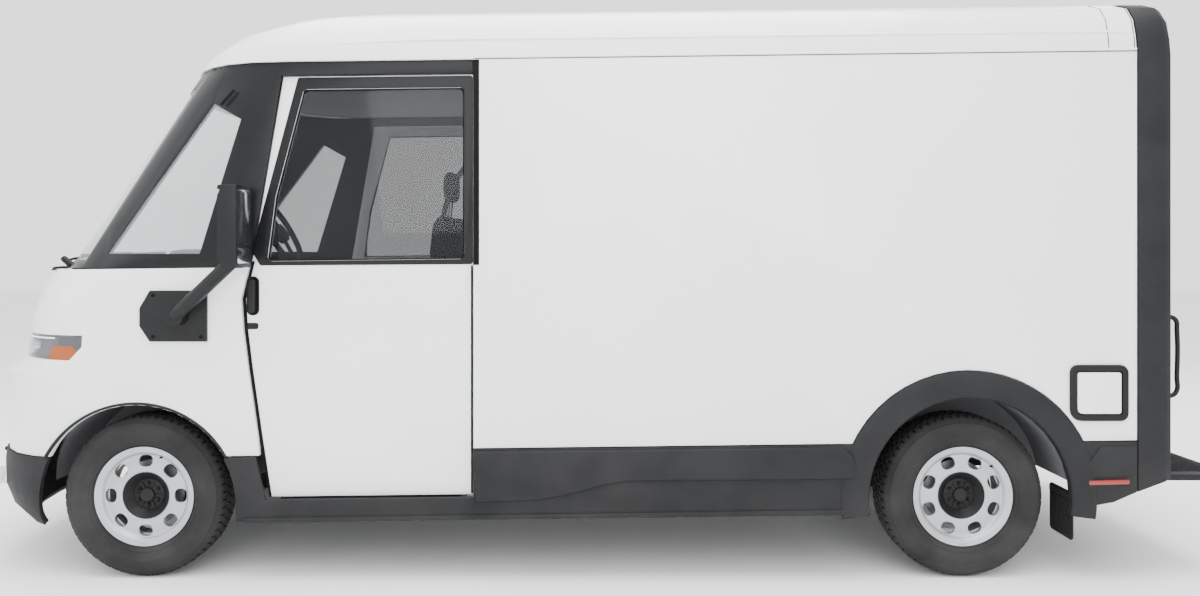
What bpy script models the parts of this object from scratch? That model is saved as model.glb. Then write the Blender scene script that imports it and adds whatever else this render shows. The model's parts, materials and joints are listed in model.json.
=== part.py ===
"""Walk-in electric delivery van: frame, body shell, cab, doors, steering and wheels.

Axes: +X towards the rear, +Y towards the vehicle's right side, +Z up, in metres.  The origin is on
the ground, under the middle of the vehicle's overall length.  Names with left and right are the
driver's left and right.  Stations along the vehicle are measured back from the front axle.
"""

import math

import bmesh
import bpy
from mathutils import Matrix, Vector

# ---------------------------------------------------------------- driving dimensions
WHEELBASE = 3.889
FRONT_OVERHANG = 0.950          # front axle to the foremost point of the bumper
REAR_OVERHANG = 0.961           # rear axle to the rear face of the body
STEP_DEPTH = 0.300              # rear step behind the rear face
BODY_WIDTH = 2.100              # over the cargo side panels
GUTTER_HEIGHT = 2.430           # side panel top and roof edge, above the front axle
CROWN_HEIGHT = 0.282            # roof crown above its edge
BELT_HEIGHT = 1.472             # foot of the cab glass
FLOOR_HEIGHT = 0.740            # top of the flat load floor
SKIRT_HEIGHT = FLOOR_HEIGHT - 0.130     # white panels end here, dark cladding below
SILL_HEIGHT = 0.280             # bottom of the dark cladding
RAKE = 0.012                    # unladen, the body's lines rise towards the rear by this slope

TYRE_RADIUS = 0.385
TYRE_WIDTH = 0.240
RIM_RADIUS = 0.236
RIM_SEAT_RADIUS = 0.216
WHEEL_TRACK = 1.755             # between the middles of the two tyres on an axle
WHEEL_HOLES = 8

PANEL_SKIN = 0.020              # outer skin of the door pocket
LINING = 0.018                  # inner wall of the door pocket
DOOR_THICKNESS = 0.045
DOOR_CLEARANCE = 0.012          # beside the sliding door, each way
DOOR_TRAVEL = 0.850
DOOR_SEAM = 0.006               # around the closed door
CLADDING_THICKNESS = 0.025
CLADDING_STAND = 0.006          # cladding stands this proud of the panels
FENDER_THICKNESS = 0.028
GREENHOUSE_THICKNESS = 0.040
ROOF_THICKNESS = 0.045
GLASS_THICKNESS = 0.006
FLOOR_THICKNESS = 0.040
TUB_WALL = 0.015                # sheet of the step wells and wheel housings
PORTAL_DEPTH = 0.171            # rear frame, fore and aft

SEAM = 0.004                    # gap that shows between two outer panels
TOUCH = 0.0004                  # gap between two pieces that meet

STEER_INSET = 0.0775            # kingpin inboard of the tyre's middle
ROUND = 32                      # sides of a wheel

# ---------------------------------------------------------------- derived places
OVERALL_LENGTH = FRONT_OVERHANG + WHEELBASE + REAR_OVERHANG + STEP_DEPTH
FRONT_AXLE = FRONT_OVERHANG - OVERALL_LENGTH / 2
REAR_AXLE = FRONT_AXLE + WHEELBASE
REAR_FACE = REAR_AXLE + REAR_OVERHANG
PORTAL_FRONT = REAR_FACE - PORTAL_DEPTH
HALF_WIDTH = BODY_WIDTH / 2
SKIN_INNER = HALF_WIDTH - PANEL_SKIN
DOOR_OUTER = SKIN_INNER - DOOR_CLEARANCE
DOOR_INNER = DOOR_OUTER - DOOR_THICKNESS
LINING_OUTER = DOOR_INNER - DOOR_CLEARANCE
LINING_INNER = LINING_OUTER - LINING
CAB_HALF_WIDTH = HALF_WIDTH - 0.014
CLADDING_OUTER = HALF_WIDTH + CLADDING_STAND
CLADDING_INNER = CLADDING_OUTER - CLADDING_THICKNESS
HALF_TRACK = WHEEL_TRACK / 2
KINGPIN = HALF_TRACK - STEER_INSET

DOOR_REAR = FRONT_AXLE + 1.567
POCKET_FRONT = DOOR_REAR + DOOR_SEAM
POCKET_END = DOOR_REAR + DOOR_TRAVEL + 0.030
BULKHEAD = POCKET_FRONT + 0.010
BULKHEAD_THICKNESS = 0.030
CARGO_FRONT = BULKHEAD + BULKHEAD_THICKNESS + TOUCH
DOOR_BOTTOM = SILL_HEIGHT + 0.108
DOOR_TOP = GUTTER_HEIGHT - 0.068

FRONT_ARCH_RADIUS = TYRE_RADIUS + 0.092
FRONT_ARCH = (FRONT_AXLE - 0.014, TYRE_RADIUS - 0.033)
REAR_ARCH_RADIUS = TYRE_RADIUS + 0.087
REAR_ARCH = (REAR_AXLE, TYRE_RADIUS + 0.008)
FLARE_RADIUS = REAR_ARCH_RADIUS + 0.126
FRONT_HOUSING_INNER = 0.535     # a steered tyre swings in as far as this
REAR_HOUSING_INNER = HALF_TRACK - TYRE_WIDTH / 2 - 0.052
FENDER_FOOT = SKIRT_HEIGHT - 0.025
RAIL_FOOT = TYRE_RADIUS + 0.165  # frame rails pass over the rear axle

SIDES = {"left": -1, "right": 1}

FINISHES = {
    "white_paint": ((0.80, 0.81, 0.82), 0.30, 0.0),
    "black_plastic": ((0.030, 0.031, 0.033), 0.55, 0.0),
    "gloss_black": ((0.012, 0.012, 0.013), 0.15, 0.0),
    "glass": ((0.55, 0.58, 0.60), 0.05, 0.0),
    "lamp": ((0.85, 0.86, 0.87), 0.10, 0.0),
    "red_lamp": ((0.45, 0.02, 0.02), 0.15, 0.0),
    "steel": ((0.10, 0.10, 0.11), 0.50, 0.6),
    "wheel_silver": ((0.72, 0.73, 0.74), 0.35, 0.7),
    "tyre_rubber": ((0.025, 0.025, 0.026), 0.85, 0.0),
    "grey_trim": ((0.13, 0.13, 0.14), 0.70, 0.0),
    "seat_fabric": ((0.05, 0.05, 0.055), 0.90, 0.0),
}


# ---------------------------------------------------------------- small tools
def clear_scene():
    """Remove every object, so that the part starts from an empty scene."""
    for thing in list(bpy.data.objects):
        bpy.data.objects.remove(thing, do_unlink=True)


def finish_of(name):
    """The material called name, made on first use."""
    material = bpy.data.materials.get(name)
    if material:
        return material
    colour, roughness, metallic = FINISHES[name]
    material = bpy.data.materials.new(name)
    material.use_nodes = True
    shader = material.node_tree.nodes["Principled BSDF"]
    shader.inputs["Base Color"].default_value = (*colour, 1.0)
    shader.inputs["Roughness"].default_value = roughness
    shader.inputs["Metallic"].default_value = metallic
    return material


def add_solid(name, points, faces, finish="grey_trim", smooth=False):
    """A mesh object from points and faces, with its faces turned outwards."""
    mesh = bpy.data.meshes.new(name)
    mesh.from_pydata([tuple(point) for point in points], [], faces)
    form = bmesh.new()
    form.from_mesh(mesh)
    bmesh.ops.recalc_face_normals(form, faces=form.faces)
    form.to_mesh(mesh)
    form.free()
    solid = bpy.data.objects.new(name, mesh)
    bpy.context.scene.collection.objects.link(solid)
    mesh.materials.append(finish_of(finish))
    if smooth:
        mesh.shade_smooth()
        mesh.set_sharp_from_angle(angle=math.radians(32))
    return solid


def loft(name, rings, finish="grey_trim", smooth=False):
    """A solid through closed rings that all hold the same number of points."""
    count = len(rings[0])
    points = [point for ring in rings for point in ring]
    faces = [list(range(count)), list(range(len(points) - count, len(points)))[::-1]]
    for level in range(len(rings) - 1):
        base = level * count
        for i in range(count):
            j = (i + 1) % count
            faces.append([base + i, base + j, base + count + j, base + count + i])
    return add_solid(name, points, faces, finish, smooth)


def prism(name, outline, low, high, axis, finish="grey_trim", smooth=False):
    """An outline drawn across axis (x, y or z) and drawn out from low to high along it."""
    place = {
        "x": lambda a, b, along: (along, a, b),
        "y": lambda a, b, along: (a, along, b),
        "z": lambda a, b, along: (a, b, along),
    }[axis]
    rings = [[place(a, b, along) for a, b in outline] for along in (low, high)]
    return loft(name, rings, finish, smooth)


def block(name, low, high, finish="grey_trim"):
    """A rectangular block between two corners."""
    outline = [(low[0], low[1]), (high[0], low[1]), (high[0], high[1]), (low[0], high[1])]
    return prism(name, outline, low[2], high[2], "z", finish)


def arc(centre, radius, start, end, steps):
    """Points on an arc, its angles in degrees from the first axis towards the second."""
    angles = [math.radians(start + (end - start) * i / steps) for i in range(steps + 1)]
    return [(centre[0] + radius * math.cos(a), centre[1] + radius * math.sin(a)) for a in angles]


def rod(name, start, end, radius, finish="grey_trim", sides=16):
    """A round bar between two points."""
    start = Vector(start)
    along = Vector(end) - start
    turn = along.to_track_quat("Z", "Y").to_matrix().to_4x4()
    place = Matrix.Translation(start) @ turn
    circle = arc((0.0, 0.0), radius, 0.0, 360.0, sides)[:-1]
    rings = [[place @ Vector((a, b, z)) for a, b in circle] for z in (0.0, along.length)]
    return loft(name, rings, finish, smooth=True)


def turned(name, profile, centre, finish, side=1, sides=ROUND):
    """A closed profile of (radius, outboard offset) turned about the wheel axis through centre."""
    rings = []
    for i in range(sides):
        angle = 2 * math.pi * i / sides
        across, up = math.cos(angle), math.sin(angle)
        ring = [
            (centre[0] + r * across, centre[1] + side * out, centre[2] + r * up)
            for r, out in profile
        ]
        rings.append(ring)
    count = len(profile)
    points = [point for ring in rings for point in ring]
    faces = []
    for i in range(sides):
        here, after = i * count, ((i + 1) % sides) * count
        for k in range(count):
            n = (k + 1) % count
            faces.append([here + k, here + n, after + n, after + k])
    return add_solid(name, points, faces, finish, smooth=True)


def carve(target, tool, operation="DIFFERENCE"):
    """Cut, join or intersect target with tool, which stays as a hidden guide."""
    step = target.modifiers.new(tool.name, "BOOLEAN")
    step.operation = operation
    step.solver = "EXACT"
    step.object = tool
    tool.hide_render = True
    tool.display_type = "WIRE"
    return target


def weld(target, *tools):
    """Join every tool to target as one body."""
    for tool in tools:
        carve(target, tool, "UNION")
    return target


def rise(x):
    """How far the raked body stands above its height at the front axle."""
    return RAKE * (x - FRONT_AXLE)


def rake(solid):
    """Shear a solid so that it follows the body's rake."""
    for vertex in solid.data.vertices:
        vertex.co.z += rise(vertex.co.x)
    return solid


def mirrored(outline):
    """An outline's points with the second coordinate reversed, for the left side."""
    return [(a, -b) for a, b in outline]


def set_pivot(solid, point):
    """Put a solid's origin at point without moving its surface."""
    solid.data.transform(Matrix.Translation(-Vector(point)))
    solid.location = point


# ---------------------------------------------------------------- curved shells
def plan_curve(nose, corner, half, rear, height, steps=8, fullness=2.5):
    """A horizontal line round the front of the body, from the left rear to the right rear.

    The line runs straight along each side from rear to corner, then round to nose on the middle.
    """
    side = [(rear, half), (corner + (rear - corner) * 0.5, half)]
    power = 2.0 / fullness
    for i in range(steps + 1):
        angle = math.pi / 2 * i / steps
        along = corner - (corner - nose) * math.sin(angle) ** power
        across = half * max(math.cos(angle), 0.0) ** power if i < steps else 0.0
        side.append((along, across))
    left = [(x, -y, height + rise(x)) for x, y in side]
    right = [(x, y, height + rise(x)) for x, y in side[-2::-1]]
    return left + right


def shell(name, rings, thickness, finish, crown=False):
    """A sheet through open rings, thickened inwards; crown closes the last ring over the top."""
    count = len(rings[0])
    points = [point for ring in rings for point in ring]
    faces = []
    for level in range(len(rings) - 1):
        base = level * count
        for i in range(count - 1):
            faces.append([base + i, base + count + i, base + count + i + 1, base + i + 1])
    if crown:
        last = (len(rings) - 1) * count
        middle = count // 2
        for i in range(middle - 1):
            far = count - 1 - i
            faces.append([last + i, last + far, last + far - 1, last + i + 1])
        faces.append([last + middle - 1, last + middle + 1, last + middle])
    mesh = bpy.data.meshes.new(name)
    mesh.from_pydata(points, [], faces)
    sheet = bpy.data.objects.new(name, mesh)
    bpy.context.scene.collection.objects.link(sheet)
    mesh.materials.append(finish_of(finish))
    mesh.shade_smooth()
    mesh.set_sharp_from_angle(angle=math.radians(32))
    wall = sheet.modifiers.new("wall", "SOLIDIFY")
    wall.thickness = thickness
    wall.offset = -1.0
    wall.use_even_offset = True
    return sheet


# front face: height, and how far its foremost point is ahead of the front axle
NOSE_PROFILE = (
    (FENDER_FOOT, 0.925),
    (0.800, 0.935),
    (0.975, 0.930),
    (1.030, 0.820),
    (1.160, 0.800),
    (1.240, 0.785),
    (1.370, 0.722),
    (BELT_HEIGHT - SEAM, 0.640),
)
NOSE_CORNER = -0.180            # where the sides begin to turn in, behind the front axle
GLASS_FOOT = 0.630              # windshield foot ahead of the front axle, on the middle
GLASS_HEAD = -0.060             # windshield head ahead of the front axle, on the middle
GLASS_FOOT_CORNER = 0.160       # behind the axle, where the foot meets the straight side
GLASS_HEAD_CORNER = 0.700       # behind the axle, where the head meets the straight side


def nose_rings(low, high, inset=0.0):
    """Rings of the front face between two heights, moved inwards by inset."""
    rear = DOOR_REAR - 0.700
    heights = [h for h, _ in NOSE_PROFILE if low < h < high]
    rings = []
    for height in [low, *heights, high]:
        nose = FRONT_AXLE - ahead_at(height) + inset
        corner = FRONT_AXLE + NOSE_CORNER + 0.12 * max(0.0, height - 1.0)
        rings.append(plan_curve(nose, corner, CAB_HALF_WIDTH - inset, rear, height))
    return rings


def ahead_at(height):
    """How far the front face stands ahead of the front axle at a height."""
    profile = NOSE_PROFILE
    if height <= profile[0][0]:
        return profile[0][1]
    for (low, near), (high, far) in zip(profile, profile[1:]):
        if height <= high:
            return near + (far - near) * (height - low) / (high - low)
    return profile[-1][1]


def glass_rings(low, high, inset=0.0, rear=None, levels=5):
    """Rings of the cab's upper body between two heights, moved inwards by inset."""
    rear = DOOR_REAR if rear is None else rear
    rings = []
    for i in range(levels):
        height = low + (high - low) * i / (levels - 1)
        share = (height - BELT_HEIGHT) / (GUTTER_HEIGHT - BELT_HEIGHT)
        nose = FRONT_AXLE - (GLASS_FOOT + (GLASS_HEAD - GLASS_FOOT) * share) + inset
        corner = FRONT_AXLE + GLASS_FOOT_CORNER + (GLASS_HEAD_CORNER - GLASS_FOOT_CORNER) * share
        rings.append(plan_curve(nose, corner, CAB_HALF_WIDTH - inset, rear, height))
    return rings


# ---------------------------------------------------------------- outlines seen from the side
def door_outline(grow=0.0):
    """The sliding door's edge from the side, as (x, z), grown outwards by grow."""
    front = [
        (0.608, DOOR_BOTTOM),
        (0.566, 0.664),
        (0.519, 0.992),
        (0.496, 1.179),
        (0.487, 1.320),
        (0.529, 1.497),
        (0.561, 1.683),
        (0.676, DOOR_TOP),
    ]
    edge = [(FRONT_AXLE + x - grow, z) for x, z in front]
    edge[0] = (edge[0][0], edge[0][1] - grow)
    edge[-1] = (edge[-1][0], edge[-1][1] + grow)
    edge.append((DOOR_REAR + grow, DOOR_TOP + grow))
    edge.append((DOOR_REAR + grow, DOOR_BOTTOM - grow))
    return edge


def door_window_outline(inset=0.0):
    """The glazed opening of the sliding door, as (x, z)."""
    return [
        (FRONT_AXLE + 0.600 + inset, BELT_HEIGHT + 0.024 + inset),
        (FRONT_AXLE + 0.640 + inset, 1.800),
        (FRONT_AXLE + 0.772 + inset, DOOR_TOP - 0.060 - inset),
        (DOOR_REAR - 0.040 - inset, DOOR_TOP - 0.060 - inset),
        (DOOR_REAR - 0.040 - inset, BELT_HEIGHT + 0.024 + inset),
    ]


def quarter_outline(inset=0.0):
    """The small side window ahead of the door, as (x, z)."""
    return [
        (FRONT_AXLE - 0.180 + 1.6 * inset, BELT_HEIGHT + 0.066 + inset),
        (FRONT_AXLE + 0.288 - inset, BELT_HEIGHT + 0.066 + inset),
        (FRONT_AXLE + 0.480 - inset, 2.170),
        (FRONT_AXLE + 0.340 + inset, 2.250 - inset),
    ]


def windshield_outline(inset=0.0):
    """The windshield opening seen from the front, as (y, z)."""
    foot, head = BELT_HEIGHT + 0.035 + inset, GUTTER_HEIGHT - 0.085 - inset
    low, high = CAB_HALF_WIDTH - 0.160 - inset, CAB_HALF_WIDTH - 0.200 - inset
    return [(-low, foot), (low, foot), (high, head), (-high, head)]


# ---------------------------------------------------------------- running gear
def build_frame():
    """Two longitudinal rails joined by cross members."""
    low, high = RAIL_FOOT, FLOOR_HEIGHT - FLOOR_THICKNESS - TOUCH
    lip = 0.13 * (high - low)
    front, rear = FRONT_AXLE - 0.620, PORTAL_FRONT - 0.060
    inner, outer = FRONT_HOUSING_INNER - 0.105, FRONT_HOUSING_INNER - 0.025
    frame = block("chassis_frame", (front, -outer, low), (rear, -inner, high), "steel")
    rail = block("guide_right_rail", (front, inner, low), (rear, outer, high))
    bars = []
    for i, x in enumerate((front, FRONT_AXLE + 0.500, REAR_AXLE - 0.560, rear - 0.080)):
        reach = inner + 0.010
        bars.append(block(f"guide_cross_{i}", (x, -reach, low + lip), (x + 0.080, reach, high - lip)))
    weld(frame, rail, *bars)
    return frame


def build_battery():
    """The traction battery, a flat block between the axles."""
    high = FLOOR_HEIGHT - FLOOR_THICKNESS - 0.155
    low = SILL_HEIGHT + 0.030
    front, rear = FRONT_AXLE + 0.800, REAR_AXLE - 0.600
    return block("battery_pack", (front, -0.570, low), (rear, 0.570, high), "steel")


def build_front_suspension():
    """Beam, posts and the upper and lower arms that hold the front knuckles."""
    x, hub = FRONT_AXLE, TYRE_RADIUS
    low, high = hub - 0.170, hub - 0.070
    beam = block("front_suspension", (x - 0.090, -0.620, low), (x + 0.090, 0.620, high), "steel")
    parts = []
    for side, sign in SIDES.items():
        inner, outer = sorted((sign * 0.560, sign * 0.640))
        parts.append(
            block(f"guide_{side}_post", (x - 0.060, inner, hub - 0.170), (x + 0.060, outer, hub + 0.160))
        )
        for level, z in (("lower", hub - 0.165), ("upper", hub + 0.135)):
            inner, outer = sorted((sign * 0.600, sign * (KINGPIN + 0.020)))
            parts.append(
                block(f"guide_{side}_{level}_arm", (x - 0.030, inner, z), (x + 0.030, outer, z + 0.022))
            )
    return weld(beam, *parts)


def build_rear_axle():
    """The driven rear axle: motor housing in the middle and a tube to each wheel."""
    half = HALF_TRACK + 0.015
    tube = rod("rear_axle", (REAR_AXLE, -half, TYRE_RADIUS), (REAR_AXLE, half, TYRE_RADIUS), 0.045, "steel")
    motor = rod(
        "guide_motor", (REAR_AXLE, -0.190, TYRE_RADIUS), (REAR_AXLE, 0.230, TYRE_RADIUS), 0.135, sides=20
    )
    return weld(tube, motor)


def build_knuckle(side, sign):
    """Steering knuckle: an upright on the kingpin axis and a stub axle to the wheel."""
    y, z = sign * KINGPIN, TYRE_RADIUS
    upright = rod(f"{side}_knuckle", (FRONT_AXLE, y, z - 0.137), (FRONT_AXLE, y, z + 0.129), 0.030, "steel")
    stub = rod(
        f"guide_{side}_stub", (FRONT_AXLE, y, z), (FRONT_AXLE, y + sign * (STEER_INSET + 0.020), z), 0.028
    )
    weld(upright, stub)
    set_pivot(upright, (FRONT_AXLE, y, z))
    set_pivot(stub, (FRONT_AXLE, y, z))
    return upright


def rim_profile():
    """Closed outline of a rim and its dished disc, as (radius, outboard offset)."""
    half = TYRE_WIDTH / 2 - 0.020
    return [
        (0.030, 0.028),
        (0.078, 0.028),
        (0.108, 0.062),
        (0.150, 0.068),
        (RIM_SEAT_RADIUS - 0.022, 0.050),
        (RIM_SEAT_RADIUS - 0.012, -half + 0.010),
        (RIM_RADIUS - 0.005, -half),
        (RIM_RADIUS, -half + 0.004),
        (RIM_SEAT_RADIUS, -half + 0.014),
        (RIM_SEAT_RADIUS, half - 0.014),
        (RIM_RADIUS, half - 0.004),
        (RIM_RADIUS - 0.005, half),
        (RIM_SEAT_RADIUS - 0.022, half - 0.026),
        (0.150, 0.080),
        (0.104, 0.074),
        (0.072, 0.042),
        (0.030, 0.042),
    ]


def tyre_profile():
    """Closed outline of a tyre section, as (radius, outboard offset)."""
    half = TYRE_WIDTH / 2
    outer = [
        (RIM_SEAT_RADIUS + 0.001, half - 0.038),
        (RIM_RADIUS + 0.0025, half - 0.028),
        (RIM_RADIUS + 0.006, half - 0.014),
        (RIM_RADIUS + 0.060, half),
        (TYRE_RADIUS - 0.040, half - 0.003),
        (TYRE_RADIUS - 0.008, half - 0.024),
        (TYRE_RADIUS, half - 0.048),
    ]
    return outer + [(r, -out) for r, out in reversed(outer)]


def build_wheel(axle, side, sign, x):
    """One wheel with its tyre; the rim has round holes near its edge."""
    centre = (x, sign * HALF_TRACK, TYRE_RADIUS)
    wheel = turned(f"{axle}_{side}_wheel", rim_profile(), centre, "wheel_silver", sign)
    drill_wheel(wheel, centre, sign, half_turn=(axle == "rear"))
    hub = rod(
        f"guide_{axle}_{side}_hub",
        (x, centre[1] + sign * 0.022, TYRE_RADIUS),
        (x, centre[1] + sign * 0.066, TYRE_RADIUS),
        0.070,
        sides=20,
    )
    carve(wheel, hub, "UNION")
    tyre = turned(f"{axle}_{side}_tyre", tyre_profile(), centre, "tyre_rubber", sign)
    for piece in (wheel, tyre, hub):
        set_pivot(piece, centre)


def drill_wheel(wheel, centre, sign, half_turn):
    """Cut the ring of holes through a wheel's disc."""
    circle = 0.166
    shift = 0.5 if half_turn else 0.0
    for i in range(WHEEL_HOLES):
        angle = math.radians(90) + 2 * math.pi * (i + shift) / WHEEL_HOLES
        x = centre[0] + circle * math.cos(angle)
        z = centre[2] + circle * math.sin(angle)
        low, high = sorted((centre[1] + sign * 0.040, centre[1] + sign * 0.110))
        drill = rod(f"{wheel.name}_drill_{i}", (x, low, z), (x, high, z), 0.027, sides=12)
        carve(wheel, drill)


# ---------------------------------------------------------------- floor and body sides
def build_cab_floor():
    """Cab floor with a step well at each door and a housing over each front wheel."""
    low, high = FLOOR_HEIGHT - FLOOR_THICKNESS, FLOOR_HEIGHT
    front, rear = FRONT_AXLE - 0.420, CARGO_FRONT - TOUCH
    edge = DOOR_INNER - DOOR_CLEARANCE
    tub = block("cab_floor", (front, -edge, low), (rear, edge, high), "grey_trim")
    wall = block("guide_firewall", (front, -0.800, low), (front + 0.030, 0.800, 1.300))
    weld(tub, wall)
    for side, sign in SIDES.items():
        add_step_well(tub, side, sign, edge)
        add_wheel_housing(
            tub, f"{side}_front", sign, FRONT_ARCH, FRONT_ARCH_RADIUS, FRONT_HOUSING_INNER, CAB_HALF_WIDTH
        )
    return carve(tub, loft("guide_tub_room", tub_rings()), "INTERSECT")


def tub_rings():
    """Closed rings of the space inside the bumper and the fenders, down to the sill."""
    inset = FENDER_THICKNESS + 0.006
    rings = []
    for height in (0.0, 1.4):
        nose, corner = FRONT_AXLE - 0.700, FRONT_AXLE + NOSE_CORNER + inset
        rings.append(plan_curve(nose + inset, corner, CAB_HALF_WIDTH - inset, CARGO_FRONT, height))
    return rings


def add_step_well(tub, side, sign, edge):
    """Sink a step well into the cab floor, its tread reaching out under the door."""
    front, rear = FRONT_AXLE + 0.660, DOOR_REAR - 0.070
    tread = DOOR_BOTTOM - 0.014
    inner = 0.600
    low, high = sorted((sign * inner, sign * edge))
    well = block(
        f"guide_{side}_well", (front - TUB_WALL, low, tread - 0.030), (rear + TUB_WALL, high, FLOOR_HEIGHT)
    )
    low, high = sorted((sign * inner, sign * (CLADDING_INNER - TOUCH)))
    sole = block(
        f"guide_{side}_sole", (front - TUB_WALL, low, tread - 0.030), (rear + TUB_WALL, high, tread)
    )
    low, high = sorted((sign * (inner + TUB_WALL), sign * HALF_WIDTH))
    space = block(f"guide_{side}_space", (front, low, tread), (rear, high, FLOOR_HEIGHT + 0.100))
    weld(tub, well, sole)
    carve(tub, space)


def add_wheel_housing(tub, label, sign, arch, radius, inner, outer):
    """Raise a half-round housing over a wheel, open below and outboard."""
    x, z = arch
    hood = rod(
        f"guide_{label}_hood",
        (x, sign * (inner - TUB_WALL), z),
        (x, sign * outer, z),
        radius + 0.004 + TUB_WALL,
        sides=36,
    )
    space = rod(
        f"guide_{label}_cavity", (x, sign * inner, z), (x, sign * (outer + 0.2), z), radius + 0.004, sides=36
    )
    reach = radius + 0.1
    low, high = sorted((sign * (inner - 0.1), sign * (outer + 0.2)))
    foot = block(f"guide_{label}_foot", (x - reach, low, z - reach), (x + reach, high, z + 0.080))
    weld(tub, hood)
    carve(tub, space)
    carve(tub, foot)


def build_cargo_floor():
    """Load floor with a housing over each rear wheel."""
    low, high = FLOOR_HEIGHT - FLOOR_THICKNESS, FLOOR_HEIGHT
    front, rear = CARGO_FRONT, PORTAL_FRONT - TOUCH
    edge = LINING_INNER - TOUCH
    tub = block("cargo_floor", (front, -edge, low), (rear, edge, high), "grey_trim")
    for side, sign in SIDES.items():
        add_wheel_housing(
            tub, f"{side}_rear", sign, REAR_ARCH, REAR_ARCH_RADIUS, REAR_HOUSING_INNER, SKIN_INNER - TOUCH
        )
    return tub


def build_side_panel(side, sign):
    """Cargo side: a deep wall whose front part holds the pocket of the sliding door."""
    front, rear = POCKET_FRONT, PORTAL_FRONT - SEAM
    outline = [
        (front, HALF_WIDTH),
        (rear, HALF_WIDTH),
        (rear, LINING_INNER),
        (CARGO_FRONT, LINING_INNER),
        (CARGO_FRONT, LINING_OUTER),
        (POCKET_END, LINING_OUTER),
        (POCKET_END, SKIN_INNER),
        (front, SKIN_INNER),
    ]
    if sign < 0:
        outline = mirrored(outline)
    panel = prism(f"{side}_side_panel", outline, SKIRT_HEIGHT, GUTTER_HEIGHT - TOUCH, "z", "white_paint")
    rake(panel)
    centre = (REAR_AXLE, sign * SKIN_INNER, REAR_ARCH[1])
    flare = rod(
        f"guide_{side}_flare_cut", centre, (REAR_AXLE, sign * 1.3, centre[2]), FLARE_RADIUS + SEAM, sides=48
    )
    housing = rod(
        f"guide_{side}_housing_cut",
        (REAR_AXLE, sign * 0.5, centre[2]),
        (REAR_AXLE, sign * 1.3, centre[2]),
        REAR_ARCH_RADIUS + 0.004 + TUB_WALL + 0.002,
        sides=36,
    )
    carve(panel, flare)
    carve(panel, housing)
    if side == "left":
        carve(panel, charge_recess("guide_charge_recess", TOUCH))
    return panel


def cladding_outline():
    """Dark lower cladding from the front arch to the rear face, as (x, z)."""
    sill = SILL_HEIGHT
    skirt = SKIRT_HEIGHT - SEAM
    front, rear = FRONT_ARCH, REAR_ARCH
    low_front = math.degrees(math.asin((sill - front[1]) / FRONT_ARCH_RADIUS))
    tab = FENDER_FOOT - SEAM
    high_front = math.degrees(math.asin((tab - front[1]) / FRONT_ARCH_RADIUS))
    low_rear = math.degrees(math.asin((sill + 0.040 - rear[1]) / REAR_ARCH_RADIUS))
    outline = arc(front, FRONT_ARCH_RADIUS, low_front, high_front, 5)
    outline += [(FRONT_AXLE + 0.560 - DOOR_SEAM, tab)]
    outline += [(FRONT_AXLE + 0.606 - DOOR_SEAM, DOOR_BOTTOM - DOOR_SEAM)]
    outline += [(POCKET_FRONT, DOOR_BOTTOM - DOOR_SEAM), (POCKET_FRONT, skirt)]
    outline += arc(rear, FLARE_RADIUS, 180 - flare_end(-1), flare_end(1), 20)
    outline += [(PORTAL_FRONT - SEAM, skirt + rise(PORTAL_FRONT))]
    outline += [(PORTAL_FRONT - SEAM, PORTAL_FOOT[0])]
    outline += [(REAR_AXLE + 0.676, sill + 0.097), (REAR_AXLE + 0.489, sill + 0.064)]
    outline += arc(rear, REAR_ARCH_RADIUS, low_rear, 180 - low_rear, 20)
    return outline


def flare_end(direction):
    """Angle from level where the flare meets the skirt, ahead of the rear axle (-1) or behind it (1)."""
    skirt = SKIRT_HEIGHT - SEAM + rise(REAR_AXLE + direction * FLARE_RADIUS)
    return math.degrees(math.asin((skirt - REAR_ARCH[1]) / FLARE_RADIUS))


def build_cladding(side, sign):
    """Dark lower cladding of one side with the flare round the rear wheel."""
    low, high = sorted((sign * CLADDING_INNER, sign * CLADDING_OUTER))
    return rake_straights(prism(f"{side}_cladding", cladding_outline(), low, high, "y", "black_plastic"))


def rake_straights(cladding):
    """Rake the cladding's lower edge between the axles; the round arches stay round."""
    for vertex in cladding.data.vertices:
        ahead = FRONT_AXLE + FRONT_ARCH_RADIUS + 0.010
        behind = REAR_AXLE - FLARE_RADIUS - 0.010
        if ahead < vertex.co.x < behind:
            vertex.co.z += rise(vertex.co.x)
    return cladding


# ---------------------------------------------------------------- front end
def build_front_panels():
    """White nose panel and the two fenders, split at the headlights' inner ends."""
    split = 0.560
    low, high = NOSE_PROFILE[0][0], NOSE_PROFILE[-1][0]
    rings = nose_rings(low, high)
    nose = shell("nose_panel", rings, FENDER_THICKNESS, "white_paint")
    middle = block("guide_nose_middle", (-9.0, -split, 0.0), (0.0, split, 3.0))
    carve(nose, middle, "INTERSECT")
    for side, sign in SIDES.items():
        fender = shell(f"{side}_fender", rings, FENDER_THICKNESS, "white_paint")
        near, far = sorted((sign * (split + SEAM), sign * 2.0))
        carve(fender, block(f"guide_{side}_fender_part", (-9.0, near, 0.0), (0.0, far, 3.0)), "INTERSECT")
        carve(fender, door_cutter(f"guide_{side}_fender_door", sign))
        carve(fender, arch_cutter(f"guide_{side}_fender_arch", sign))
        carve(fender, headlight_cutter(f"guide_{side}_lamp_cut", sign, 0.0))
        build_headlight(side, sign)


def door_cutter(name, sign):
    """A block that clears the sliding door and everything behind its front edge."""
    outline = door_outline(DOOR_SEAM)
    rear = BULKHEAD + 1.0
    outline = [(x, z) for x, z in outline[:-2]]
    outline[0] = (outline[0][0], SILL_HEIGHT - 0.2)
    outline += [(rear, outline[-1][1]), (rear, SILL_HEIGHT - 0.2)]
    near, far = sorted((sign * 0.6, sign * 1.3))
    return rake(prism(name, outline, near, far, "y"))


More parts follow.
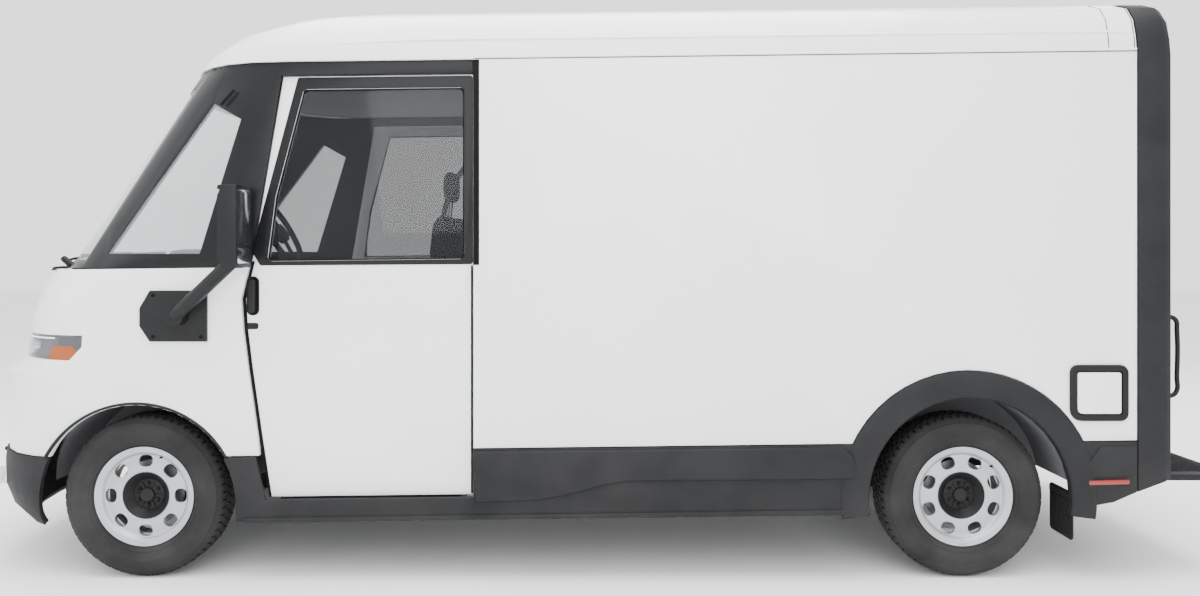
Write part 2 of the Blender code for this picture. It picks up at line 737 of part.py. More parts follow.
def arch_cutter(name, sign):
    """A round block that opens the arch over a front wheel."""
    x, z = FRONT_ARCH
    return rod(name, (x, sign * 0.5, z), (x, sign * 1.3, z), FRONT_ARCH_RADIUS, sides=48)


def headlight_cutter(name, sign, inset):
    """The headlight's outline from the side, drawn in across the corner of the nose."""
    low, high = 1.036 + inset, 1.154 - inset
    outline = [
        (FRONT_AXLE - 1.2, low),
        (FRONT_AXLE - 0.332 - inset, low),
        (FRONT_AXLE - 0.271 - inset, 1.100),
        (FRONT_AXLE - 0.268 - inset, high),
        (FRONT_AXLE - 1.2, high),
    ]
    near, far = sorted((sign * (0.564 + inset), sign * 1.3))
    return prism(name, outline, near, far, "y")


def build_headlight(side, sign):
    """A wrap-round headlight that follows the nose."""
    rings = nose_rings(1.0, 1.2, inset=0.003)
    lamp = shell(f"{side}_headlight", rings, 0.024, "lamp")
    carve(lamp, headlight_cutter(f"guide_{side}_lamp", sign, 0.001), "INTERSECT")


def build_bumper():
    """Dark front bumper, bowed with the nose and turned under at the chin."""
    foot, top = 0.250, FENDER_FOOT - SEAM
    levels = ((0.00, 0.180), (0.21, 0.060), (0.51, 0.005), (0.82, 0.0), (1.00, 0.012))
    rings = []
    for share, back in levels:
        nose, corner = FRONT_AXLE - FRONT_OVERHANG + back, FRONT_AXLE + NOSE_CORNER
        height = foot + share * (top - foot)
        rings.append(plan_curve(nose, corner, CAB_HALF_WIDTH + 0.006, FRONT_AXLE, height))
    bumper = shell("front_bumper", rings, 0.030, "black_plastic")
    for side, sign in SIDES.items():
        carve(bumper, arch_cutter(f"guide_{side}_bumper_arch", sign))
    rear = block("guide_bumper_rear", (FRONT_AXLE - 0.300, -2.0, 0.0), (FRONT_AXLE + 0.5, 2.0, 1.0))
    carve(bumper, rear)
    return bumper


# ---------------------------------------------------------------- greenhouse and roof
def build_greenhouse():
    """Dark upper cab frame: windshield surround, side window surround and band over the door."""
    low, high = BELT_HEIGHT, GUTTER_HEIGHT - TOUCH
    frame = shell("greenhouse", glass_rings(low, high, levels=6), GREENHOUSE_THICKNESS, "gloss_black")
    for side, sign in SIDES.items():
        carve(frame, door_cutter(f"guide_{side}_greenhouse_door", sign))
        carve(frame, quarter_cutter(f"guide_{side}_quarter", sign, 0.0))
    carve(frame, windshield_cutter("guide_windshield", 0.0))
    return frame


def quarter_cutter(name, sign, inset):
    """The side window's outline drawn across the cab's side."""
    near, far = sorted((sign * 0.75, sign * 1.3))
    return prism(name, quarter_outline(inset), near, far, "y")


def windshield_cutter(name, inset):
    """The windshield's outline drawn back across the cab's front."""
    return prism(name, windshield_outline(inset), FRONT_AXLE - 1.0, FRONT_AXLE + 0.420, "x")


def build_cab_glass():
    """Windshield and side windows ahead of the doors, seated in their openings."""
    rings = glass_rings(BELT_HEIGHT, GUTTER_HEIGHT, inset=0.004, levels=6)
    pane = shell("windshield", rings, GLASS_THICKNESS, "glass")
    carve(pane, windshield_cutter("guide_windshield_pane", TOUCH), "INTERSECT")
    for side, sign in SIDES.items():
        pane = shell(f"{side}_quarter_glass", rings, GLASS_THICKNESS, "glass")
        carve(pane, quarter_cutter(f"guide_{side}_quarter_pane", sign, TOUCH), "INTERSECT")


# roof: share of the crown's height, inset at the sides, inset at the front
ROOF_LEVELS = (
    (0.00, 0.000, 0.000),
    (0.26, 0.010, 0.060),
    (0.55, 0.034, 0.190),
    (0.78, 0.090, 0.420),
    (0.92, 0.200, 0.680),
    (0.98, 0.450, 0.950),
)


def build_roof():
    """One-piece roof over cab and cargo space, domed at the front and curved along its sides."""
    rings = []
    for share, side_inset, front_inset in ROOF_LEVELS:
        rings.append(
            plan_curve(
                FRONT_AXLE - GLASS_HEAD - 0.010 + front_inset,
                FRONT_AXLE + GLASS_HEAD_CORNER + 0.6 * front_inset,
                HALF_WIDTH - side_inset,
                PORTAL_FRONT - SEAM,
                GUTTER_HEIGHT + share * CROWN_HEIGHT,
            )
        )
    roof = shell("roof", rings, ROOF_THICKNESS, "white_paint", crown=True)
    foot = block("guide_roof_foot", (-9.0, -2.0, 0.0), (9.0, 2.0, GUTTER_HEIGHT))
    return carve(roof, rake(foot))


# ---------------------------------------------------------------- rear end
PORTAL_FOOT = (0.425, 0.489)    # lower edge of the rear frame at its front and at its rear


def portal_outline(foot, inset):
    """The rear frame's outer edge seen from behind, as (y, z)."""
    lift = rise(REAR_FACE)
    edge = HALF_WIDTH + 0.004 - inset
    half = [(edge, foot)]
    for share, side_inset, _ in ROOF_LEVELS:
        half.append((edge - side_inset, GUTTER_HEIGHT + share * CROWN_HEIGHT + lift - inset))
    return half + [(-y, z) for y, z in reversed(half)]


def build_portal():
    """Dark frame round the rear door, with the bumper beam at its foot."""
    rings = []
    for ahead, inset in ((PORTAL_DEPTH, 0.0), (0.045, 0.0), (0.012, 0.014), (0.0, 0.034)):
        foot = PORTAL_FOOT[1] + (PORTAL_FOOT[0] - PORTAL_FOOT[1]) * ahead / PORTAL_DEPTH
        rings.append([(REAR_FACE - ahead, y, z) for y, z in portal_outline(foot, inset)])
    portal = loft("rear_portal", rings, "black_plastic")
    low, high = rear_opening()
    carve(portal, block("guide_rear_opening", (PORTAL_FRONT - 0.1, low[0], low[1]), (REAR_FACE + 0.1, *high)))
    return portal


def rear_opening():
    """Lower and upper corner of the rear opening, as (y, z)."""
    half = LINING_INNER - 0.070
    return (-half, FLOOR_HEIGHT), (half, GUTTER_HEIGHT - 0.060)


def build_rear_door():
    """Roll-up rear door of horizontal slats."""
    low, high = rear_opening()
    front = REAR_FACE - 0.100
    slats = 14
    pitch = (high[1] - low[1] - 2 * TOUCH) / slats
    groove = 0.006
    outline = [(front, low[1] + TOUCH)]
    for i in range(slats):
        z = low[1] + TOUCH + i * pitch
        outline += [(front + 0.018, z), (front + 0.024, z + groove), (front + 0.024, z + pitch - groove)]
    outline += [(front + 0.018, high[1] - TOUCH), (front, high[1] - TOUCH)]
    return prism("rear_door", outline, low[0] + TOUCH, high[0] - TOUCH, "y", "white_paint")


def build_rear_step():
    """Thin full-width step on two brackets."""
    low, high = 0.466, 0.496
    half = HALF_WIDTH - 0.050
    front, rear = REAR_FACE + TOUCH, REAR_FACE + STEP_DEPTH
    step = block("rear_step", (front, -half, low), (rear, half, high), "black_plastic")
    arms = []
    for side, sign in SIDES.items():
        near, far = sorted((sign * 0.400, sign * 0.480))
        foot, top = PORTAL_FOOT[0] - 0.045, PORTAL_FOOT[0] - 0.005
        back = REAR_FACE + 0.060
        arms.append(block(f"guide_{side}_step_arm", (PORTAL_FRONT - 0.100, near, foot), (back, far, top)))
        arms.append(block(f"guide_{side}_step_post", (back - 0.050, near, foot), (back, far, low + 0.010)))
    return weld(step, *arms)


def build_tail_light(side, sign):
    """Upright rear lamp on the rear frame's post."""
    low, high = rear_opening()
    near, far = sorted((sign * (high[0] + 0.030), sign * (high[0] + 0.095)))
    back = REAR_FACE + TOUCH
    return block(f"{side}_tail_light", (back, near, 1.300), (back + 0.016, far, 1.700), "red_lamp")


# ---------------------------------------------------------------- doors
def build_cab_door(side, sign):
    """Sliding door with its window cut, and the pane in it."""
    near, far = sorted((sign * DOOR_INNER, sign * DOOR_OUTER))
    door = rake(prism(f"{side}_cab_door", door_outline(), near, far, "y", "white_paint"))
    hole = rake(prism(f"guide_{side}_window", door_window_outline(), near - 0.1, far + 0.1, "y"))
    carve(door, hole)
    middle = sign * (DOOR_OUTER - 0.008)
    near, far = sorted((middle, middle - sign * GLASS_THICKNESS))
    rake(prism(f"{side}_door_glass", door_window_outline(TOUCH), near, far, "y", "glass"))
    return door


# ---------------------------------------------------------------- charge port
CHARGE_STATION = 0.607          # middle of the flap behind the rear axle
CHARGE_FLAP = (0.204, 0.194)
FLAP_SEAM = 0.005               # round the closed flap
CHARGE_RING = 0.033             # width of the dark ring round the flap
CHARGE_FRONT = CHARGE_STATION - CHARGE_FLAP[0] / 2 - CHARGE_RING
CHARGE_HEIGHT = REAR_ARCH[1] + math.sqrt(FLARE_RADIUS ** 2 - CHARGE_FRONT ** 2) + 0.1278


def charge_outline(grow):
    """The charge flap's rounded outline grown by grow, as (x, z); its lower front corner is fuller."""
    x, z = REAR_AXLE + CHARGE_STATION, CHARGE_HEIGHT
    half = [size / 2 + grow for size in CHARGE_FLAP]
    small, full = 0.012 + 0.7 * grow, 0.024 + 0.9 * grow
    outline = []
    corners = ((1, 1, small, 0), (-1, 1, small, 90), (-1, -1, full, 180), (1, -1, small, 270))
    for across, up, radius, start in corners:
        centre = (x + across * (half[0] - radius), z + up * (half[1] - radius))
        outline += arc(centre, radius, start, start + 90, 4)
    return outline


def charge_block(name, grow, outer, inner, finish="grey_trim"):
    """A block of the flap's shape grown by grow, between two distances from the middle plane."""
    return prism(name, charge_outline(grow), -outer, -inner, "y", finish)


def charge_recess(name, grow):
    """The space cut from the left side panel for the charge port."""
    return charge_block(name, CHARGE_RING + grow, HALF_WIDTH + 0.1, HALF_WIDTH - 0.090 - grow)


def build_charge_port():
    """Thick ring with a cup behind it, and the flap hinged at its front edge."""
    face = HALF_WIDTH + 0.014
    port = charge_block("charge_port", CHARGE_RING, face, HALF_WIDTH - 0.090, "black_plastic")
    carve(port, charge_block("guide_charge_cup", FLAP_SEAM, face + 0.1, HALF_WIDTH - 0.070))
    flap = charge_block("charge_flap", 0.0, face - 0.004, face - 0.018, "white_paint")
    hinge = REAR_AXLE + CHARGE_STATION - CHARGE_FLAP[0] / 2
    set_pivot(flap, (hinge, -(face - 0.004), CHARGE_HEIGHT))
    return port


# ---------------------------------------------------------------- mirrors
def build_mirror(side, sign):
    """Tall mirror head on a slanted arm from a plate on the fender."""
    face = CAB_HALF_WIDTH + TOUCH
    x = FRONT_AXLE
    plate_outline = [
        (x + 0.012, 1.200),
        (x + 0.060, 1.128),
        (x + 0.326, 1.128),
        (x + 0.326, 1.366),
        (x + 0.060, 1.366),
        (x + 0.012, 1.284),
    ]
    near, far = sorted((sign * face, sign * (face + 0.016)))
    mirror = prism(f"{side}_mirror", plate_outline, near, far, "y", "black_plastic")
    foot, tip = sign * (face + 0.010), sign * (face + 0.090)
    boss = rod(f"guide_{side}_boss", (x + 0.200, foot, 1.250), (x + 0.200, tip, 1.250), 0.045)
    elbow = (x + 0.200, sign * (face + 0.070), 1.250)
    arm = rod(f"guide_{side}_arm", elbow, (x + 0.510, sign * (face + 0.150), 1.520), 0.032)
    near, far = sorted((sign * (face + 0.070), sign * (face + 0.270)))
    head_outline = [
        (x + 0.469, 1.520),
        (x + 0.490, 1.480),
        (x + 0.552, 1.480),
        (x + 0.552, 1.845),
        (x + 0.500, 1.845),
        (x + 0.469, 1.800),
    ]
    head = prism(f"guide_{side}_head", head_outline, near, far, "y")
    return weld(mirror, boss, arm, head)


# ---------------------------------------------------------------- cab interior
WHEEL_CENTRE = (FRONT_AXLE + 0.490, -0.450, 1.640)
COLUMN_ANGLE = math.radians(28.5)
COLUMN = Vector((math.cos(COLUMN_ANGLE), 0.0, math.sin(COLUMN_ANGLE)))


def build_dashboard():
    """Dashboard across the cab with the steering column."""
    x = FRONT_AXLE
    outline = [
        (x - 0.380, 1.060),
        (x + 0.000, 1.020),
        (x + 0.100, 1.120),
        (x + 0.080, 1.380),
        (x - 0.060, 1.460),
        (x - 0.380, 1.460),
    ]
    dash = prism("dashboard", outline, -0.930, 0.930, "y", "grey_trim")
    room = loft("guide_cab_room", cab_room_rings())
    carve(dash, room, "INTERSECT")
    foot = Vector(WHEEL_CENTRE) - COLUMN * 0.560
    head = Vector(WHEEL_CENTRE) - COLUMN * 0.030
    return weld(dash, rod("guide_column", foot, head, 0.034))


def cab_room_rings():
    """Closed rings of the space inside the front of the cab, upright below the belt."""
    upper = glass_rings(BELT_HEIGHT, GUTTER_HEIGHT - 0.1, GREENHOUSE_THICKNESS + 0.012, levels=4)
    foot = [(x, y, z - 0.5) for x, y, z in upper[0]]
    return [foot, *upper]


def build_steering_wheel():
    """Steering wheel rim with three spokes on a hub."""
    radius, thick = 0.196, 0.016
    wheel = torus("steering_wheel", radius, thick, 28, 8)
    hub = rod("guide_steering_hub", (0, 0, -0.022), (0, 0, 0.020), 0.050)
    spokes = []
    for i, angle in enumerate((0.0, 90.0, 180.0)):
        turn = math.radians(angle)
        end = (0.98 * radius * math.cos(turn), 0.98 * radius * math.sin(turn), 0.0)
        spokes.append(rod(f"guide_spoke_{i}", (0, 0, 0), end, 0.011, sides=8))
    weld(wheel, hub, *spokes)
    across = Vector((0.0, 1.0, 0.0))
    down = across.cross(COLUMN)
    turn = Matrix((down, across, COLUMN)).transposed().to_4x4()
    for piece in (wheel, hub, *spokes):
        piece.matrix_world = Matrix.Translation(WHEEL_CENTRE) @ turn
    return wheel


def torus(name, radius, thick, around, section):
    """A ring about the local Z axis."""
    points, faces = [], []
    for i in range(around):
        a = 2 * math.pi * i / around
        for k in range(section):
            b = 2 * math.pi * k / section
            reach = radius + thick * math.cos(b)
            points.append((reach * math.cos(a), reach * math.sin(a), thick * math.sin(b)))
    for i in range(around):
        for k in range(section):
            j, n = (i + 1) % around, (k + 1) % section
            faces.append([i * section + k, j * section + k, j * section + n, i * section + n])
    return add_solid(name, points, faces, "grey_trim", smooth=True)


SEAT_STATION = FRONT_AXLE + 0.710       # front edge of the driver's cushion


def build_seat():
    """Driver's seat: pedestal, cushion and back with head restraint."""
    x, y = SEAT_STATION, WHEEL_CENTRE[1]
    foot = FLOOR_HEIGHT + TOUCH
    block("seat_base", (x + 0.100, y - 0.140, foot), (x + 0.480, y + 0.170, 1.120), "grey_trim")
    cushion = [
        (x + 0.000, 1.135),
        (x + 0.040, 1.122),
        (x + 0.520, 1.122),
        (x + 0.520, 1.240),
        (x + 0.060, 1.260),
        (x + 0.000, 1.220),
    ]
    prism("seat_cushion", cushion, y - 0.250, y + 0.250, "y", "seat_fabric")
    back = [
        (x + 0.540, 1.130),
        (x + 0.620, 1.130),
        (x + 0.720, 1.800),
        (x + 0.730, 1.990),
        (x + 0.670, 2.010),
        (x + 0.640, 1.900),
        (x + 0.600, 1.780),
        (x + 0.535, 1.280),
    ]
    prism("seat_back", back, y - 0.240, y + 0.240, "y", "seat_fabric")


def build_bulkhead():
    """Wall behind the cab with an open doorway to the load space."""
    edge = LINING_OUTER - TOUCH
    wall = block(
        "bulkhead",
        (BULKHEAD, -edge, FLOOR_HEIGHT + TOUCH),
        (BULKHEAD + BULKHEAD_THICKNESS, edge, GUTTER_HEIGHT - 0.010),
        "grey_trim",
    )
    near = (BULKHEAD - 0.1, 0.0, FLOOR_HEIGHT + 0.030)
    carve(wall, block("guide_doorway", near, (BULKHEAD + 0.1, 0.620, 2.100)))
    return wall


# ---------------------------------------------------------------- the vehicle
def build_van():
    """Build every sub-part in order."""
    clear_scene()
    build_frame()
    build_battery()
    build_front_suspension()
    build_rear_axle()
    build_cab_floor()
    build_cargo_floor()
    build_front_panels()
    build_bumper()
    build_greenhouse()
    build_cab_glass()
    build_roof()
    build_portal()
    build_rear_door()
    build_rear_step()
    build_charge_port()
    build_dashboard()
    build_steering_wheel()
    build_seat()
    build_bulkhead()
    for side, sign in SIDES.items():
        build_side_panel(side, sign)
        build_cladding(side, sign)
        build_tail_light(side, sign)
        build_cab_door(side, sign)
        build_mirror(side, sign)
        build_knuckle(side, sign)
        build_wheel("front", side, sign, FRONT_AXLE)
        build_wheel("rear", side, sign, REAR_AXLE)


build_van()
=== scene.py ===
"""Looks of a walk-in electric delivery van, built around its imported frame.

Axes are the frame's: +X to the rear, +Y to the vehicle's right, +Z up, in metres.  Each sub-assembly
is a class with its sizes as fields; each finish is a frozen record that builds one material.
"""

import json
import logging
import math
from contextlib import contextmanager
from dataclasses import dataclass
from enum import Enum
from typing import Callable, Iterable, Iterator, Optional, Sequence

import bmesh
import bpy
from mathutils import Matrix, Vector

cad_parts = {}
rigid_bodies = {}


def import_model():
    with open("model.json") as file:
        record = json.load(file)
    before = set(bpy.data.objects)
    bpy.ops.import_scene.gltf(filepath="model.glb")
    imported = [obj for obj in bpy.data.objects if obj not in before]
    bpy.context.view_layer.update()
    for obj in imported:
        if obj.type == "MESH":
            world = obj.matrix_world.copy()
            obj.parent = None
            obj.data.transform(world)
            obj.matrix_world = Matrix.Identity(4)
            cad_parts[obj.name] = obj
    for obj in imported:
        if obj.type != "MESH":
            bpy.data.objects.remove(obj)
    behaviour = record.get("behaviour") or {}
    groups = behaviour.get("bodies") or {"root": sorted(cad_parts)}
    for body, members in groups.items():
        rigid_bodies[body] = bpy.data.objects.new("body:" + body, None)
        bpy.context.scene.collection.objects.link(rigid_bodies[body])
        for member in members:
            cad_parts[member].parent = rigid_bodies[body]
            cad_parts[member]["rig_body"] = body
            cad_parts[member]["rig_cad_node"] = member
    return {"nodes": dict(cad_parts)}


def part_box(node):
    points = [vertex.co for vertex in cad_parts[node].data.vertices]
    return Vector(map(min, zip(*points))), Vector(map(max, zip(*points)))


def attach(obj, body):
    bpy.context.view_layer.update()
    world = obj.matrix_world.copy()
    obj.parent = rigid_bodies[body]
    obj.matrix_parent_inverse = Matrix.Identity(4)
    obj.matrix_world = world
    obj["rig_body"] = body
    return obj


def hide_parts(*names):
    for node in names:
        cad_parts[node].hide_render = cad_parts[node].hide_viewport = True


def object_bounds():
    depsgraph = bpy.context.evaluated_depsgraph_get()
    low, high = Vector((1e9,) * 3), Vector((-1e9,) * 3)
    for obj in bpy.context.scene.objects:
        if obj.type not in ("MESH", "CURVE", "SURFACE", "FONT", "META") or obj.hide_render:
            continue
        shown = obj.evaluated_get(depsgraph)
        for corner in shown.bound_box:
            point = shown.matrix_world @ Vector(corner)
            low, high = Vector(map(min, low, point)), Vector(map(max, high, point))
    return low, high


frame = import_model()
CAD_BOX = [list(corner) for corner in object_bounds()]

LOG = logging.getLogger("van")
Point = Sequence[float]
Piece = bpy.types.Object

FRONT_AXLE = -2.1
REAR_AXLE = 1.789
REAR_FACE = 2.75
HALF_WIDTH = 1.05
SIDE_FACE = 1.056
DOOR_FACE = 1.018
DOOR_BACK = 0.973
GUTTER = 2.43
FLOOR = 0.74
RAKE = 0.012
AXLE_HEIGHT = 0.385
HALF_TRACK = 0.8775
BOX_SLACK = 0.0015


def rise(x: float) -> float:
    """Height that the body's rake adds at x."""
    return RAKE * (x - FRONT_AXLE)


class Side(Enum):
    """The two sides of the van, with the sign of their y."""

    LEFT = -1
    RIGHT = 1

    @property
    def label(self) -> str:
        """The side's name as the frame writes it."""
        return self.name.lower()


# --- shader expressions
class Shade:
    """A value over a surface: one output socket of a material, with arithmetic."""

    def __init__(self, paper: "Paper", socket: bpy.types.NodeSocket) -> None:
        """Wrap a socket of the paper's node tree."""
        self.paper = paper
        self.socket = socket

    def _math(self, kind: str, first: object, second: object) -> "Shade":
        """A Math node on two values."""
        return self.paper.node("ShaderNodeMath", {"operation": kind}, {0: first, 1: second})

    def __add__(self, other: object) -> "Shade":
        """Sum."""
        return self._math("ADD", self, other)

    __radd__ = __add__

    def __mul__(self, other: object) -> "Shade":
        """Product."""
        return self._math("MULTIPLY", self, other)

    __rmul__ = __mul__

    def __sub__(self, other: object) -> "Shade":
        """Difference."""
        return self._math("SUBTRACT", self, other)

    def __rsub__(self, other: object) -> "Shade":
        """Difference from a number."""
        return self._math("SUBTRACT", other, self)

    def over(self, low: float, high: float) -> "Shade":
        """A mask that runs from 0 at low to 1 at high."""
        sockets = {"Value": self, "From Min": low, "From Max": high}
        return self.paper.node("ShaderNodeMapRange", {"interpolation_type": "SMOOTHSTEP"}, sockets)

    def capped(self) -> "Shade":
        """The value held between 0 and 1."""
        return self._math("MINIMUM", self._math("MAXIMUM", self, 0.0), 1.0)


class Paper:
    """A material's node tree, written as expressions."""

    def __init__(self, name: str) -> None:
        """Start a material that has only a Principled shader and its output."""
        self.material = bpy.data.materials.new(name)
        self.material.use_nodes = True
        self.tree = self.material.node_tree
        self.shader = self.tree.nodes["Principled BSDF"]

    def node(self, kind: str, settings: dict, sockets: dict, output: object = 0) -> Shade:
        """Add a node.

        Args:
            kind: The node's type.
            settings: Its own settings, made first.
            sockets: Values or shades for its inputs, by name or number.
            output: The output that is wanted, by name or number.

        Returns:
            The wanted output.
        """
        made = self.tree.nodes.new(kind)
        for key, value in settings.items():
            setattr(made, key, value)
        for key, value in sockets.items():
            self.feed(made.inputs[key], value)
        return Shade(self, made.outputs[output])

    def feed(self, socket: bpy.types.NodeSocket, value: object) -> None:
        """Give a socket a value or a link."""
        if isinstance(value, Shade):
            self.tree.links.new(value.socket, socket)
        elif isinstance(value, tuple) and len(value) == 3 and socket.type == "RGBA":
            socket.default_value = (*value, 1.0)
        else:
            socket.default_value = value

    def place(self) -> Shade:
        """The surface's place in the frame."""
        return self.node("ShaderNodeTexCoord", {}, {}, "Object")

    def axis(self, name: str) -> Shade:
        """One coordinate of the surface's place."""
        return self.node("ShaderNodeSeparateXYZ", {}, {0: self.place()}, name)

    def stretched(self, scale: tuple) -> Shade:
        """The place scaled along each axis."""
        return self.node("ShaderNodeMapping", {}, {"Vector": self.place(), "Scale": scale})

    def noise(self, scale: float, detail: float = 3.0, at: Optional[Shade] = None) -> Shade:
        """Soft noise of a scale."""
        sockets = {"Vector": at or self.place(), "Scale": scale, "Detail": detail}
        return self.node("ShaderNodeTexNoise", {}, sockets)

    def mix(self, share: object, first: object, second: object) -> Shade:
        """Two colours mixed by a share."""
        sockets = {0: share, 6: first, 7: second}
        return self.node("ShaderNodeMix", {"data_type": "RGBA"}, sockets, 2)

    def bump(self, height: Shade, strength: float, distance: float) -> None:
        """Raise the surface by a height."""
        sockets = {"Height": height, "Strength": strength, "Distance": distance}
        self.feed(self.shader.inputs["Normal"], self.node("ShaderNodeBump", {}, sockets))


class Grain(Enum):
    """Surface grains that a finish may have."""

    NONE = "none"
    PEEL = "peel"
    MOULDED = "moulded"
    LEATHER = "leather"
    WEAVE = "weave"
    CAST = "cast"
    BRUSHED = "brushed"
    RUBBER = "rubber"


@dataclass(frozen=True)
class Finish:
    """A finish: its colours, gloss and grain, and the road dust it gathers low down."""

    name: str
    colour: tuple
    roughness: float
    metallic: float = 0.0
    grain: Grain = Grain.NONE
    mottle: float = 0.06
    mottle_scale: float = 6.0
    dust: float = 0.0
    dust_colour: tuple = (0.34, 0.32, 0.29)
    coat: float = 0.0
    alpha: float = 1.0
    glow: float = 0.0
    specular: float = 0.5

    def material(self) -> bpy.types.Material:
        """The material, made on first use."""
        known = bpy.data.materials.get(f"look_{self.name}")
        return known or self.build()

    def build(self) -> bpy.types.Material:
        """Write the material's nodes."""
        paper = Paper(f"look_{self.name}")
        inputs = paper.shader.inputs
        inputs["Metallic"].default_value = self.metallic
        inputs["Coat Weight"].default_value = self.coat
        inputs["Coat Roughness"].default_value = 0.06
        inputs["Specular IOR Level"].default_value = self.specular
        cloud = paper.noise(self.mottle_scale)
        dark = tuple(c * (1.0 - self.mottle) for c in self.colour)
        light = tuple(min(1.0, c * (1.0 + self.mottle)) for c in self.colour)
        colour = paper.mix(cloud.over(0.3, 0.7), dark, light)
        rough = self.roughness * (0.88 + 0.24 * paper.noise(self.mottle_scale * 3.7))
        if self.dust:
            low = 1.0 - paper.axis("Z").over(0.15, 1.15)
            film = (low * self.dust * paper.noise(3.1, 6.0).over(0.25, 0.75)).capped()
            colour = paper.mix(film, colour, self.dust_colour)
            rough = rough + 0.35 * film
        paper.feed(inputs["Base Color"], colour)
        paper.feed(inputs["Roughness"], rough.capped())
        if self.alpha < 1.0:
            inputs["Alpha"].default_value = self.alpha
        if self.glow:
            inputs["Emission Color"].default_value = (*self.colour, 1.0)
            inputs["Emission Strength"].default_value = self.glow
        self.add_grain(paper)
        return paper.material

    def add_grain(self, paper: Paper) -> None:
        """Give the surface its grain as bump."""
        if self.grain is Grain.PEEL:
            paper.bump(paper.noise(420.0, 1.0), 0.05, 0.0004)
        elif self.grain is Grain.MOULDED:
            paper.bump(paper.noise(900.0, 2.0), 0.3, 0.0006)
        elif self.grain is Grain.CAST:
            paper.bump(paper.noise(160.0, 5.0), 0.35, 0.001)
        elif self.grain is Grain.RUBBER:
            paper.bump(paper.noise(600.0, 3.0), 0.3, 0.0008)
        elif self.grain is Grain.BRUSHED:
            paper.bump(paper.noise(90.0, 2.0, paper.stretched((0.05, 1.0, 6.0))), 0.2, 0.0004)
        elif self.grain is Grain.LEATHER:
            cells = {"Vector": paper.place(), "Scale": 420.0}
            paper.bump(paper.node("ShaderNodeTexVoronoi", {}, cells), 0.35, 0.0008)
        elif self.grain is Grain.WEAVE:
            sockets = {"Scale": 160.0, "Vector": paper.place()}
            across = paper.node("ShaderNodeTexWave", {"bands_direction": "Y"}, sockets, 1)
            along = paper.node("ShaderNodeTexWave", {"bands_direction": "DIAGONAL"}, sockets, 1)
            paper.bump(across * along, 0.55, 0.001)


class Finishes:
    """Every finish of the van."""

    WHITE = Finish("white_paint", (0.8, 0.81, 0.825), 0.3, grain=Grain.PEEL, mottle=0.012, mottle_scale=1.3,
        dust=0.08, coat=0.6)
    PLASTIC = Finish("black_plastic", (0.0105, 0.0108, 0.0118), 0.62, grain=Grain.MOULDED, mottle=0.16,
        dust=0.022, specular=0.17)
    GLOSS = Finish("gloss_black", (0.0078, 0.008, 0.0088), 0.3, mottle=0.08, specular=0.18)
    SATIN = Finish("satin_black", (0.006, 0.0062, 0.0066), 0.48, grain=Grain.MOULDED, mottle=0.1,
        specular=0.2)
    SEAL = Finish("seal_rubber", (0.004, 0.004, 0.0044), 0.76, grain=Grain.RUBBER, specular=0.1)
    GLASS = Finish("glass", (0.42, 0.45, 0.47), 0.04, mottle=0.01, alpha=0.2, specular=0.45)
    TINT = Finish("tinted_glass", (0.01, 0.011, 0.013), 0.03, mottle=0.02, alpha=0.42, specular=0.3)
    LENS = Finish("clear_lens", (0.22, 0.23, 0.24), 0.06, mottle=0.02, alpha=0.3, specular=0.45)
    AMBER = Finish("amber_lens", (0.3, 0.066, 0.01), 0.18, mottle=0.05, alpha=0.94)
    RED = Finish("red_lens", (0.21, 0.0045, 0.0035), 0.16, mottle=0.06, coat=0.4)
    REFLECTOR = Finish("reflector", (0.62, 0.64, 0.66), 0.16, metallic=1.0, mottle=0.03)
    DAYLIGHT = Finish("daylight_strip", (0.93, 0.95, 1.0), 0.25, glow=0.15)
    STEEL = Finish("steel", (0.022, 0.022, 0.024), 0.56, metallic=0.4, grain=Grain.CAST, mottle=0.2,
        dust=0.12)
    BARE = Finish("bare_steel", (0.36, 0.36, 0.37), 0.36, metallic=1.0, grain=Grain.BRUSHED, mottle=0.1)
    SILVER = Finish("wheel_silver", (0.37, 0.38, 0.395), 0.4, metallic=0.65, mottle=0.05, dust=0.08,
        coat=0.2)
    RUBBER = Finish("tyre_rubber", (0.015, 0.015, 0.016), 0.82, grain=Grain.RUBBER, mottle=0.2, dust=0.05,
        specular=0.16)
    TRIM = Finish("grey_trim", (0.075, 0.076, 0.082), 0.68, grain=Grain.LEATHER, mottle=0.06)
    DARK_TRIM = Finish("dark_trim", (0.015, 0.0155, 0.0175), 0.64, grain=Grain.LEATHER, mottle=0.08,
        specular=0.3)
    WALL = Finish("load_wall", (0.6, 0.61, 0.62), 0.5, grain=Grain.PEEL, mottle=0.04)
    MAT = Finish("floor_mat", (0.02, 0.02, 0.022), 0.8, grain=Grain.RUBBER, mottle=0.15, specular=0.25)
    FABRIC = Finish("seat_fabric", (0.022, 0.023, 0.026), 0.92, grain=Grain.WEAVE, mottle=0.18,
        mottle_scale=14.0, specular=0.2)
    BOLSTER = Finish("bolster_fabric", (0.045, 0.047, 0.052), 0.88, grain=Grain.WEAVE, mottle=0.12,
        specular=0.2)
    THREAD = Finish("thread", (0.06, 0.062, 0.068), 0.8, grain=Grain.WEAVE)
    SCREEN = Finish("screen", (0.004, 0.005, 0.008), 0.1, mottle=0.04, coat=0.4)
    ORANGE = Finish("cable_orange", (0.42, 0.11, 0.015), 0.55, grain=Grain.RUBBER)


